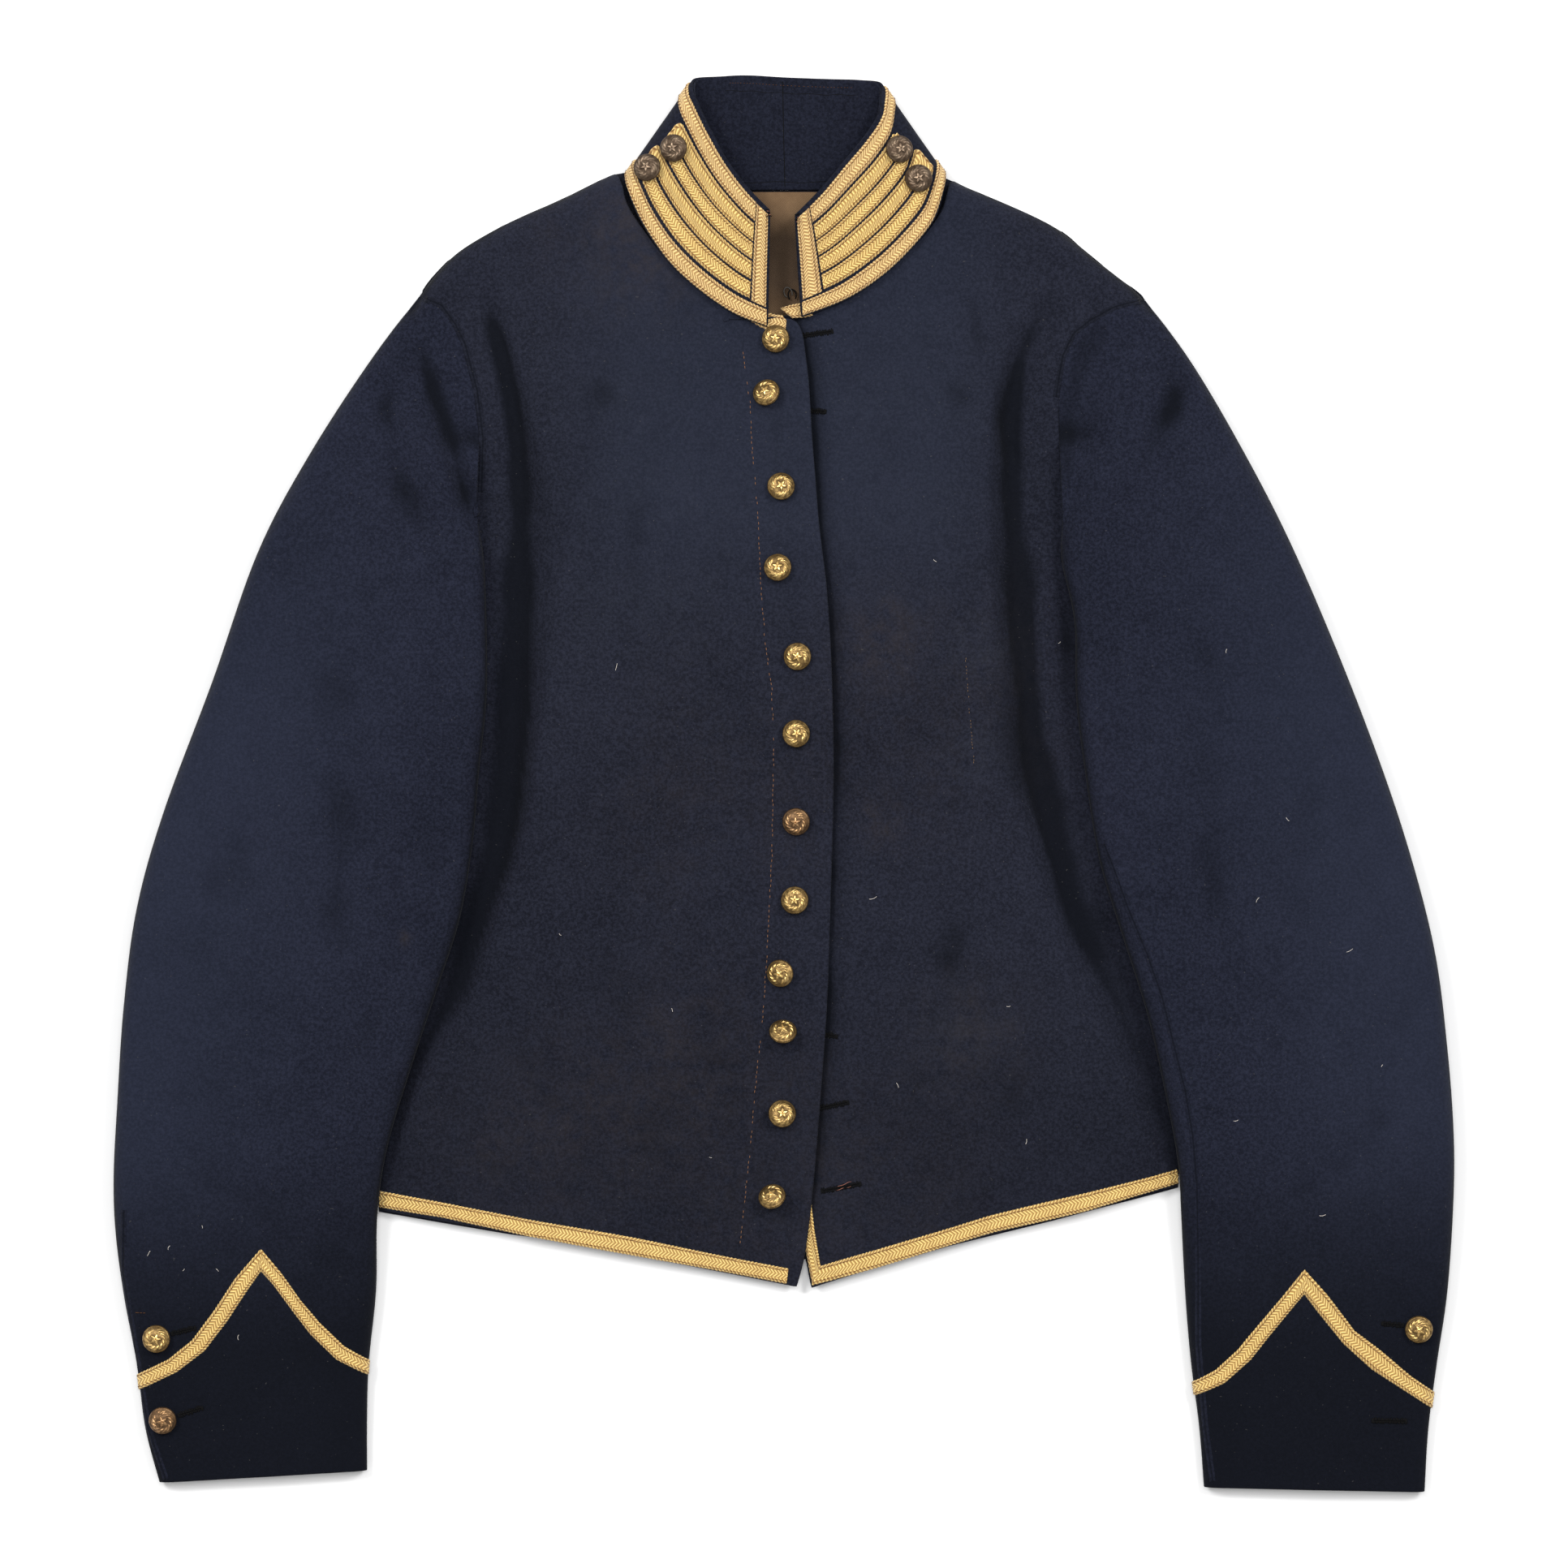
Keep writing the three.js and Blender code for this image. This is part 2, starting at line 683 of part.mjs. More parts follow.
function raisedOnSleeve(hand, x, y, offset) {
  const { u, w } = sleeveSpot(hand, x, y);
  return raised(topSleeveSurface[hand], u, w, offset);
}

// Closed sheet through two layers of points on one grid
function closedSheet(us, vs, place, lowOffset, highOffset) {
  const positions = [];
  for (const offset of [lowOffset, highOffset]) {
    for (const u of us) {
      for (const v of vs) {
        positions.push(...place(u, v, offset).toArray());
      }
    }
  }
  const n = vs.length;
  const layer = us.length * n;
  const faces = [];
  const quad = (a, b, c, d) => faces.push(a, b, c, a, c, d);
  for (let i = 0; i < us.length - 1; i += 1) {
    for (let j = 0; j < n - 1; j += 1) {
      const a = i * n + j;
      quad(a, a + 1, a + n + 1, a + n);
      quad(layer + a, layer + a + n, layer + a + n + 1, layer + a + 1);
    }
  }
  const firstRow = vs.map((_, j) => j);
  const lastRow = firstRow.map((j) => layer - n + j).reverse();
  const farSide = us.map((_, i) => (i + 1) * n - 1);
  const nearSide = us.map((_, i) => i * n).reverse();
  const rim = [...firstRow, ...farSide.slice(1), ...lastRow.slice(1), ...nearSide.slice(1)];
  for (let k = 0; k < rim.length - 1; k += 1) {
    quad(rim[k], layer + rim[k], layer + rim[k + 1], rim[k + 1]);
  }
  const geometry = new THREE.BufferGeometry();
  geometry.setAttribute("position", new THREE.Float32BufferAttribute(positions, 3));
  geometry.setIndex(faces);
  return facingOut(geometry);
}

function facingOut(geometry) {
  const index = geometry.index.array;
  const position = geometry.attributes.position;
  const [a, b, c] = [new THREE.Vector3(), new THREE.Vector3(), new THREE.Vector3()];
  let volume = 0;
  for (let i = 0; i < index.length; i += 3) {
    a.fromBufferAttribute(position, index[i]);
    b.fromBufferAttribute(position, index[i + 1]);
    c.fromBufferAttribute(position, index[i + 2]);
    volume += a.dot(b.cross(c));
  }
  if (volume < 0) {
    for (let i = 0; i < index.length; i += 3) {
      [index[i + 1], index[i + 2]] = [index[i + 2], index[i + 1]];
    }
  }
  geometry.computeVertexNormals();
  return geometry;
}

const even = (count, low = 0, high = 1) =>
  Array.from({ length: count + 1 }, (_, i) => lerp(low, high, i / count));

// Grid shares denser round an edge
const rolled = [0, 0.3, 0.65].map((share) => share * ROLL_SHARE);
// and, on a front, beside the sleeve and under the lap
const frontShares = [...rolled, 0.2, 0.25, 0.3, 0.35, 0.4, 0.46, 0.55, 0.68, 0.82, 0.91, 0.95, 0.975, 1];
// Row shares of a front, every row down to the underarm and half rows below it
const UNDERARM_ROW = 17;
const LAST_ROW = front.right.length - 1;
const upperRows = even(UNDERARM_ROW, 0, UNDERARM_ROW);
const lowerRows = even(2 * (LAST_ROW - UNDERARM_ROW), UNDERARM_ROW, LAST_ROW).slice(1);
const frontRows = [...upperRows, ...lowerRows].map((row) => row / LAST_ROW);
// Row shares of a sleeve, closer beside its seam
const LAST_STATION = sleeve.right.length - 1;
const sleeveRows = [0, 0.5, ...even(20, 1, LAST_STATION)].map((u) => u / LAST_STATION);
const twoRolls = (flat) => [
  ...rolled,
  ...even(flat, ROLL_SHARE, 1 - ROLL_SHARE),
  ...rolled.toReversed().map((share) => 1 - share),
];

const group = new THREE.Group();

function piece(name, geometry, finish) {
  const mesh = new THREE.Mesh(geometry, new THREE.MeshStandardMaterial(finish));
  mesh.name = name;
  group.add(mesh);
  return mesh;
}

// Back, flat on the table
function backPanel() {
  const corners = [
    ...backNeck,
    ...shoulder.right.filter((p) => p.x > -194 && p.x < -84).toReversed(),
    ...outline.right,
    ...backHem.slice(1, -1),
    ...outline.left.toReversed(),
    ...shoulder.left.filter((p) => p.x < 192 && p.x > 86).toReversed(),
  ];
  const shape = new THREE.Shape(corners.map((p) => new THREE.Vector2(p.x, p.y)));
  return new THREE.ExtrudeGeometry(shape, { depth: BACK_TOP, bevelEnabled: false });
}

// Lining behind the neck, on the back
function liningPanel() {
  const place = (u, v, z) => {
    const half = lerp(LINING_ENDS.topHalf, LINING_ENDS.lowHalf, u);
    return new THREE.Vector3(lerp(-half, half, v), lerp(LINING_ENDS.topY, LINING_ENDS.lowY, u), z);
  };
  return closedSheet(even(6), even(4), place, LINING.low, LINING.high);
}

// A strip between the two edges of a lace table, laid on a surface
function laceStrip(rows, steps, cells, place) {
  const us = even((rows.length - 1) * steps, 0, rows.length - 1);
  const onEdge = (u, v, offset) => {
    const i = Math.min(Math.floor(u), rows.length - 2);
    const t = u - i;
    const [a, b] = [rows[i], rows[i + 1]];
    const up = { x: lerp(a.upX, b.upX, t), y: lerp(a.upY, b.upY, t) };
    const down = { x: lerp(a.downX, b.downX, t), y: lerp(a.downY, b.downY, t) };
    return place(lerp(down.x, up.x, v), lerp(down.y, up.y, v), offset);
  };
  return closedSheet(us, even(cells), onEdge, LACE.under, LACE.over);
}

// Stations of the collar's grid, closer at its two folds
const collarStations = [...even(9, 0, 4.5), ...even(8, 4.75, 6.9), ...even(8, 7.5, 10.8)];
collarStations.push(...even(8, 11.15, 13.3), ...even(9, 13.5, COLLAR_END));

function collarBand(low, high) {
  const place = (u, v, offset) => raised(collarSurface, u, v, offset);
  const us = collarStations.map((u) => u / COLLAR_END);
  return closedSheet(us, even(2), place, low, high);
}

function collarLace(ends, low, high) {
  const place = (u, v, offset) => raised(collarSurface, u / COLLAR_END, v, offset);
  const [start, end] = ends.toSorted((a, b) => a - b);
  const us = [start, ...collarStations.filter((u) => u > start && u < end), end];
  return closedSheet(us, [low, high], place, COLLAR_LACE.under, COLLAR_LACE.over);
}

// A false buttonhole: two rows of lace joined in a point round the button
function collarLoop(loop, aroundFrom) {
  const middle = (loop.slitLow + loop.slitHigh) / 2;
  const corners = table("outAround outUp inAround inUp", [
    [LOOP_START, loop.high, LOOP_START, loop.slitHigh],
    [loop.shoulder, loop.high, loop.shoulder, loop.slitHigh],
    [loop.tip, middle, loop.slitEnd, middle],
    [loop.shoulder, loop.low, loop.shoulder, loop.slitLow],
    [LOOP_START, loop.low, LOOP_START, loop.slitLow],
  ]);
  const place = (u, v, offset) => {
    const i = Math.min(Math.floor(u), corners.length - 2);
    const a = corners[i];
    const b = corners[i + 1];
    const along = (name) => lerp(a[name], b[name], u - i);
    const around = aroundFrom(lerp(along("inAround"), along("outAround"), v));
    const up = lerp(along("inUp"), along("outUp"), v);
    return raised(collarSurface, around / COLLAR_END, up, offset);
  };
  const us = [...even(5, 0, 1), ...even(8, 1, 3).slice(1), ...even(5, 3, 4).slice(1)];
  return closedSheet(us, even(3), place, COLLAR_LACE.under, COLLAR_LACE.over);
}

// Domed button on a short shank, standing on +Z
function buttonShape() {
  const profile = table("radius z", [
    [0, 0],
    [SHANK_RADIUS, 0],
    [SHANK_RADIUS, SHANK_LENGTH],
    [6.6, 1.9],
    [BUTTON_RADIUS, 3],
    [6, 5.2],
    [3.2, 6.5],
    [0, 6.8],
  ]);
  const points = profile.map((p) => new THREE.Vector2(p.radius, p.z));
  return new THREE.LatheGeometry(points, BUTTON_SIDES).rotateX(Math.PI / 2);
}

// The shank's foot stands clear of the surface by the lift, and the dome tips about it
function button(name, foot, normal, lift, tiltDegrees, finish) {
  const mesh = piece(name, buttonShape(), finish);
  const up = new THREE.Vector3(0, 0, 1);
  const turn = new THREE.Quaternion().setFromUnitVectors(up, normal);
  const tilt = THREE.MathUtils.degToRad(tiltDegrees);
  const tip = new THREE.Quaternion().setFromAxisAngle(new THREE.Vector3(-1, 0, 0), tilt);
  mesh.quaternion.copy(turn.multiply(tip));
  const rimDrop = BUTTON_RADIUS * Math.sin(tilt) - SHANK_LENGTH * Math.cos(tilt);
  const clear = Math.max(rimDrop, SHANK_RADIUS * Math.sin(tilt));
  mesh.position.copy(foot).addScaledVector(normal, lift + clear);
}

// Assembly
piece("back", backPanel(), navy);
piece("neck_lining", liningPanel(), tan);

for (const hand of ["right", "left"]) {
  const place = (surface, least = 0) => (u, v, offset) => {
    const point = raised(surface, u, v, offset);
    point.z = Math.max(point.z, least);
    return point;
  };
  piece(
    `front_${hand}`,
    closedSheet(frontRows, frontShares, place(frontSurface[hand], FRONT_REST), -CLOTH, 0),
    navy,
  );
  piece(
    `topsleeve_${hand}`,
    closedSheet(sleeveRows, twoRolls(6), place(topSleeveSurface[hand]), -CLOTH, 0),
    navySleeve,
  );
  piece(
    `undersleeve_${hand}`,
    closedSheet(sleeveRows, twoRolls(6), place(underSleeveSurface[hand]), -CLOTH, 0),
    navySleeve,
  );
  piece(
    `lace_hem_${hand}`,
    laceStrip(hemLace[hand], 5, 1, (x, y, o) => raisedOnFront(hand, x, y, o)),
    yellow,
  );
  piece(
    `lace_cuff_${hand}`,
    laceStrip(cuffLace[hand], 3, 1, (x, y, o) => raisedOnSleeve(hand, x, y, o)),
    yellow,
  );
}
piece(
  "lace_front_edge",
  laceStrip(frontEdgeLace, 3, 4, (x, y, o) => raisedOnFront("left", x, y, o)),
  yellow,
);

piece("collar_outer", collarBand(PLY_GAP, PLY_GAP + COLLAR_PLY), navy);
piece("collar_facing", collarBand(-PLY_GAP - COLLAR_PLY, -PLY_GAP), navy);
piece("lace_collar_top", collarLace([0.6, COLLAR_END - 0.6], 0.81, 0.96), yellow);
piece("lace_collar_base", collarLace([0.05, COLLAR_END - 0.05], 0.01, 0.14), yellow);
const aroundFrom = { right: (u) => u, left: (u) => COLLAR_END - u };
for (const hand of ["right", "left"]) {
  const ends = [0.07, 0.57].map(aroundFrom[hand]);
  piece(`lace_collar_front_${hand}`, collarLace(ends, 0.16, 0.96), yellow);
  for (const loop of collarLoops) {
    piece(`lace_collar_loop_${loop.name}_${hand}`, collarLoop(loop, aroundFrom[hand]), yellow);
  }
}

frontButtons.forEach((spot, i) => {
  const foot = raisedOnFront("right", spot.x, spot.y, 0);
  const normal = raisedOnFront("right", spot.x, spot.y, 1).sub(foot);
  button(`button_front_${i + 1}`, foot, normal, SEAM, spot.tilt, brass);
});
collarButtons.forEach((spot, i) => {
  const around = spot.around / COLLAR_END;
  const foot = raised(collarSurface, around, spot.up, 0);
  const normal = normalAt(collarSurface, around, spot.up);
  button(`button_collar_${i + 1}`, foot, normal, COLLAR_LACE.over + SEAM, 0, dullBrass);
});
for (const hand of ["right", "left"]) {
  cuffButtons[hand].forEach((spot, i) => {
    const { u, w } = sleeveSpot(hand, spot.x, spot.y);
    const foot = raised(topSleeveSurface[hand], u, w, 0);
    const normal = normalAt(topSleeveSurface[hand], u, w);
    button(`button_cuff_${hand}_${i + 1}`, foot, normal, SEAM, 0, brass);
  });
}

export default group;
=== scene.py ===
"""A short wool shell jacket with yellow worsted lace, laid flat on its back.

Shapes are worked out in millimetres (+X to the wearer's left, +Y towards the collar, +Z up from
the table) and put into the scene in metres.
"""
import math
from functools import partial

import bpy
import numpy as np
from mathutils import Matrix, Vector


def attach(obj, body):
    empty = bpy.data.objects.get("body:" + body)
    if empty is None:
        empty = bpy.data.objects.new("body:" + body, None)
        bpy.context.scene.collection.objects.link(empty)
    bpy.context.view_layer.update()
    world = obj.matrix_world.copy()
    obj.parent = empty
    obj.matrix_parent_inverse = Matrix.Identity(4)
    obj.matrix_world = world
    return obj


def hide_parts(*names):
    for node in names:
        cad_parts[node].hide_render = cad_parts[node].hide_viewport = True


MM = 0.001
HANDS = ("right", "left")

# Driving sizes, as the solids have them
CLOTH = 2.0
SEAM = 0.3
BACK_TOP = CLOTH
FRONT_REST = BACK_TOP + SEAM
FRONT_RIM = 0.7
SHOULDER_ROLL = 12.0
LAP_DROP = 3.8
LAP_WIDTH = 13.0
SLEEVE_ROLL = 8.0
ROLL_SHARE = 0.2
SLEEVE_LOFT = 4.0
SLEEVE_CLEAR = 1.3
COVER_HOLD = 15.0
COVER_RAMP = 22.0
HEM_DROP = 30.0
SLEEVE_TOP_Y = 202.0
SLEEVE_LIFT_Y = 159.0
SEAM_STATIONS = 3
COLLAR_PLY = 1.35
PLY_GAP = 0.15
BUTTON_RADIUS = 7.4
LACE_WIDTH = 9.5


def table(names, *rows):
    """Named columns from one row for each section or corner."""
    return dict(zip(names.split(), np.array(rows, float).T))


def line_of(*points):
    """A line through points of the plan, in millimetres."""
    return table("x y", *points)


SHOULDER = {
    "right": line_of(
        (-200, 254.5), (-194.5, 263), (-180, 280.5), (-154, 298), (-114, 316), (-93, 326.5), (-82.5, 330),
    ),
    "left": line_of(
        (81.5, 328), (95.5, 321), (108, 316), (146.5, 298), (168, 280.5), (189, 264), (197.5, 255.5),
    ),
}

ARMHOLE = {
    "right": line_of(
        (-194.5, 262.5), (-184.5, 257.5), (-177.5, 247), (-172, 235.5), (-165.5, 210), (-162.5, 185),
        (-163.5, 160), (-164, 140.5),
    ),
    "left": line_of(
        (193.5, 260), (178, 256.5), (165, 249.5), (156.5, 242.5), (150.5, 229.5), (147, 206.5),
        (147.5, 176.5), (149, 140.5),
    ),
}

SIDE = {
    "right": line_of(
        (-175.5, 123.5), (-200, 112), (-228.5, 105), (-234, 80.5), (-234.5, 46), (-230, 2.5), (-224, -50),
        (-220, -110.5), (-218, -171.5), (-217, -228),
    ),
    "left": line_of(
        (160, 123.5), (189, 112), (227, 105), (233.5, 80.5), (233.5, 46), (230, 2.5), (222.5, -50),
        (215.5, -110.5), (212.5, -171.5), (211.5, -215),
    ),
}

OUTLINE = {
    hand: {n: np.concatenate([ARMHOLE[hand][n], SIDE[hand][n]]) for n in "xy"} for hand in HANDS
}

BODY = {
    "right": table(
        "y edge_z trough trough_z shelf shelf_z",
        (263, 14, 162.5, 15, 150, 16.5), (227.5, 15, 150.5, 13, 141.5, 18.5),
        (179.5, 13.5, 143.5, 11.5, 129.5, 20.5), (141.5, 9, 145, 9, 120, 22),
        (106.5, 4.5, 146, 8.5, 118.5, 22.5), (24, 4.5, 146, 8.5, 127.5, 22.5),
        (-15, 4.5, 148, 8.5, 133.5, 21.5), (-70, 4.5, 163.5, 8, 148, 19),
        (-113, 4.5, 176.5, 8, 162.5, 16.5), (-159.5, 4.5, 202.5, 7.5, 192, 13.5),
        (-202, 4.5, 212, 7, 202, 11), (-228, 4.5, 214, 6.5, 198, 9),
    ),
    "left": table(
        "y edge_z trough trough_z shelf shelf_z",
        (260, 14, 142, 15.5, 130, 17), (227.5, 14, 128, 12.5, 116, 19), (179.5, 11, 124.5, 9.5, 108, 21),
        (141.5, 9, 126, 8.5, 108, 22), (106, 4.5, 127, 8.5, 109, 22.5), (50, 4.5, 131.5, 8.5, 117, 22.5),
        (4.5, 4.5, 136.5, 8.5, 122, 21.5), (-41, 4.5, 147.5, 8.5, 132, 20), (-80, 4.5, 160.5, 8, 144, 18),
        (-123.5, 4.5, 182.5, 8, 167, 16), (-167, 4.5, 197.5, 7.5, 186, 13), (-202, 4.5, 205, 7, 196, 10.5),
        (-219, 4.5, 207, 6.5, 193, 9),
    ),
}

CENTRE = table(
    "y z",
    (260, 15), (200, 18), (141, 21), (60, 23), (-20, 23), (-90, 20.5), (-150, 16), (-200, 12.5),
    (-240, 10.5), (-270, 9.5),
)

# Free edge of the right front: how far it stands off the left one, as the shadows there show
LAP_EDGE = table(
    "y x lift",
    (247.5, 5.5, 0), (233, 10, 0.2), (215.5, 12.5, 2.6), (184.5, 14.5, 3.4), (141.5, 18, 0.6),
    (105, 22, 2.4), (80, 24.6, 1.4), (56, 25.3, 3.2), (25, 26, 2.6), (-15, 25.8, 0.5), (-58.5, 24.5, 1.0),
    (-100, 23.4, 0.3), (-131, 22, 1.0), (-172, 18, 0.3), (-206.5, 14.5, 0.4), (-233.5, 11.5, 0.1),
    (-254.5, 9.5, 0), (-269, 6.5, 0),
)

FRONT = {
    "right": table(
        "out_x out_y in_x in_y bow",
        (-90.5, 327, -89, 326.2, 0), (-95, 325.3, -87, 320.5, 0), (-114, 315.9, -84, 309.5, 0),
        (-139.4, 304.6, -74.5, 295, 0), (-161.1, 293.7, -62.4, 279.8, 0), (-180.2, 280.5, -50.2, 268.5, 0),
        (-194.4, 262.8, -35, 258.5, 0), (-184.5, 257.5, -26, 254, 0), (-177.5, 247, -15, 248.8, 0),
        (-173.8, 239.8, 6, 247.3, 0), (-168.5, 222, 11.4, 226, 0), (-164.4, 203, 13.3, 205, 0),
        (-162.5, 185, 14.5, 184.5, 0), (-163.5, 160, 16.5, 159.5, 0), (-164, 140.5, 18, 141, 0),
        (-175.5, 123.5, 20, 124, 0), (-200, 112, 21.5, 112, 0), (-228.5, 105, 22.3, 104, 0),
        (-234, 80.5, 24, 80, 0), (-234.5, 46, 25.3, 46, 0), (-230, 2.5, 26, 2.5, 0),
        (-224, -50, 24.7, -50, 0), (-220, -110.5, 22.8, -110.5, 0), (-218.5, -160, 19.5, -162, 0),
        (-217.5, -195, 15.5, -212, 0), (-217, -215, 11, -250, 0), (-217, -228, 6.5, -269, 1),
    ),
    "left": table(
        "out_x out_y in_x in_y bow",
        (91, 323.4, 89.5, 322.6, 0), (98, 320, 88, 315.5, 0), (114, 313.3, 84.5, 305.5, 0),
        (146.5, 298, 74.5, 292, 0), (160, 287.4, 60.5, 279.5, 0), (176, 274.3, 45.5, 267, 0),
        (193.2, 260.3, 28, 257, 0), (178, 256.5, 10, 251.4, 0), (165, 249.5, -10, 249.4, 0),
        (156.5, 242.5, -9.8, 243, 0), (150.5, 229.5, -9, 229, 0), (147, 206.5, -8.3, 206.5, 0),
        (147, 185, -7.5, 185, 0), (148, 160, -6.5, 160, 0), (149, 140.5, -6, 140.5, 0),
        (160, 123.5, -5.6, 123.5, 0), (189, 112, -5.3, 112, 0), (227, 105, -5, 104, 0),
        (233.5, 80.5, -4.4, 80.5, 0), (233.5, 46, -3.8, 46, 0), (230, 2.5, -3.2, 2.5, 0),
        (222.5, -50, -2.3, -50, 0), (215.5, -110.5, -1.4, -110.5, 0), (212.7, -160, -0.2, -164, 0),
        (212, -185, 1.5, -208, 0), (211.5, -203, 8.5, -236, 0), (211.5, -215, 15, -269.5, 2),
    ),
}

BACK_NECK = line_of((-83, 328.4), (-66, 321.8), (-36, 318.3), (0, 318), (36, 318.5), (84, 326.4))
BACK_HEM = line_of(
    (-217, -229.5), (-147, -241.5), (-80, -250), (8, -255), (80, -250), (147, -233.5), (211.5, -216.5),
)

SLEEVE = {
    "right": table(
        "out_x out_y in_x in_y top",
        (-197, 262, -164, 140.5, 15), (-221, 228.5, -160.5, 122.5, 24), (-254, 176.5, -159, 89.5, 28),
        (-281.5, 124, -159, 46, 29), (-306, 54.5, -163, 6.5, 29), (-332, -15, -166.5, -32.5, 28),
        (-346.5, -67, -173.5, -73, 28), (-353.5, -119.5, -186.5, -113, 27), (-357, -171.5, -200, -154, 26),
        (-359, -210.5, -212, -194, 24), (-358, -241, -217.5, -229.5, 22),
        (-353.5, -276, -218.5, -271.5, 18), (-347, -310.5, -222.5, -310.5, 15),
        (-342.5, -345.5, -223.5, -341, 13), (-335, -374.5, -223.5, -368, 11.5),
    ),
    "left": table(
        "out_x out_y in_x in_y top",
        (194.5, 260, 149, 140.5, 15), (217, 228.5, 148.5, 120, 24), (242.5, 185, 155.5, 87, 28),
        (269.5, 133, 156.5, 46, 29), (296, 72, 161.5, 4.5, 29), (319.5, 11, 169, -41, 28),
        (336.5, -41, 182, -83.5, 28), (349, -91, 194.5, -123, 27), (355.5, -141, 203.5, -162, 26),
        (359, -186.5, 211, -202, 24), (359, -223.5, 213, -232.5, 22), (356, -271.5, 215.5, -276, 18),
        (350.5, -310.5, 218.5, -310.5, 15), (346, -345.5, 223, -345.5, 13),
        (344, -379.5, 225.5, -377, 11.5),
    ),
}
LAST_STATION = 14

COLLAR = table(
    "neck_x neck_y neck_z top_x top_y top_z",
    (-8.9, 245, 18, -7.6, 305.9, 26), (-26.3, 252, 18, -19.8, 318.5, 26),
    (-45, 264.6, 18, -30.7, 333.3, 25.5), (-61.5, 279.8, 18, -39.8, 350.2, 24),
    (-75, 299.3, 18, -45.9, 363.3, 21), (-82, 315.4, 17.6, -48.5, 371, 17),
    (-82.4, 326.8, 8, -46.7, 377.2, 10), (-66.7, 323.3, 3.6, -35, 378.9, 5.5),
    (-37.2, 319.6, 3.3, -19.8, 379.6, 4.5), (0, 319.2, 3.3, 0, 378.5, 4.2),
    (36.7, 319.8, 3.3, 23.7, 377.6, 4.5), (68, 323.4, 3.6, 42, 377, 5.5), (83.7, 327.6, 8, 51.5, 374.6, 9),
    (85, 317.2, 17.2, 52, 364.1, 16), (80.2, 302, 18, 49.8, 355.4, 20), (68.9, 287.6, 18, 42, 343.7, 23),
    (52.4, 272, 18, 32.4, 332, 25), (32.4, 259, 18, 19.3, 316.3, 26), (9.8, 250.2, 18, 6.3, 303.3, 26),
)
COLLAR_END = 18

LACE_EDGES = "up_x up_y down_x down_y"
HEM_LACE = {
    "right": table(
        LACE_EDGES,
        (-216.5, -218.6, -217, -227.3), (-181.5, -225, -183, -232.5), (-134, -234, -136.5, -243),
        (-80.5, -243.5, -82.5, -252.5), (2.5, -260, 1.5, -268),
    ),
    "left": table(
        LACE_EDGES,
        (19.6, -258.6, 15.2, -269), (50, -250, 51.5, -259), (110.5, -231.5, 113, -240.5),
        (160.5, -220, 162.5, -229), (211, -207, 212, -214.6),
    ),
}
FRONT_EDGE_LACE = table(
    LACE_EDGES,
    (12, -196, 2, -196), (14, -220, 5, -220), (16.5, -240, 9.8, -240), (19.8, -258.4, 15.4, -268.8),
)
CUFF_LACE = {
    "right": table(
        LACE_EDGES,
        (-346.6, -316.6, -346, -325.2), (-329.5, -308.5, -325, -315), (-316.5, -298, -310, -303.5),
        (-304.5, -281.5, -297.5, -287.5), (-293.5, -264.5, -286.5, -271), (-279.5, -248.5, -279.5, -261),
        (-268.5, -262, -273, -268), (-258.5, -276.5, -263.5, -281), (-248.5, -288.5, -253.5, -294.5),
        (-235.5, -301, -239.5, -308.5), (-222.6, -308.4, -223.2, -316.9),
    ),
    "left": table(
        LACE_EDGES,
        (219.6, -320.4, 220.6, -328), (231.5, -314, 236, -321), (243, -303.5, 250, -308.5),
        (253.5, -290.5, 259.5, -296.5), (267.5, -273.5, 273.5, -279.5), (278.5, -259.5, 278.5, -273.5),
        (291, -273.5, 285, -282), (305.5, -293, 299.5, -299.5), (320, -304, 315, -313.5),
        (335.5, -317, 331.5, -324.5), (349.2, -326.2, 348, -335.4),
    ),
}

# Ends of the neckline lace, run on past the collar onto the fronts
NECK_TONGUE = {
    "right": table(
        LACE_EDGES,
        (-12.5, 254.2, -17.5, 247.6), (-9.2, 252.4, -12.8, 244.6), (-4.8, 251, -7.6, 242.4),
        (-0.8, 250.6, -2.2, 241.6), (1.5, 247.8, 1, 243.4),
    ),
    "left": table(
        LACE_EDGES,
        (-1.8, 254.6, -0.6, 253.2), (3, 256, 4.6, 249.2), (8.6, 257.2, 11, 249.6),
        (13.2, 257.8, 15.6, 250.6),
    ),
}

# Places, then lean and turn in degrees, and patina from bright to brown
FRONT_BUTTONS = table(
    "x y tilt lean toward spin patina",
    (-4, 238, 0, 7, 200, 10, 0.25), (-8.5, 208, 0, 24, 150, 60, 0.1), (-1.5, 158.5, 0, 6, 80, 130, 0.1),
    (-3, 115, 0, 8, 100, 15, 0.15), (7.5, 68, 0, 5, 270, 220, 0.15), (6.5, 26.5, 0, 5, 30, 200, 0.2),
    (7, -20, 0, 8, 250, 20, 0.55), (6, -62.5, 0, 6, 120, 300, 0.2), (-1, -101, 0, 18, 190, 180, 0.35),
    (-0.5, -134, 40, 0, 0, 30, 0.2), (-1, -177, 15, 4, 20, 90, 0.1), (-5.5, -222.5, 36, 10, 200, 45, 0.1),
)
COLLAR_BUTTONS = table(
    "around up lean toward spin patina",
    (4.07, 0.61, 0, 0, 20, 1), (4.8, 0.28, 0, 0, 200, 1), (13.89, 0.66, 0, 0, 100, 1),
    (13.72, 0.33, 0, 0, 250, 1),
)
CUFF_BUTTONS = {
    "right": table(
        "x y lean toward spin patina", (-335.5, -297, 5, 90, 0, 0.3), (-332.5, -340.5, 6, 300, 40, 0.75)
    ),
    "left": table("x y lean toward spin patina", (340, -291.5, 6, 200, 190, 0.35)),
}

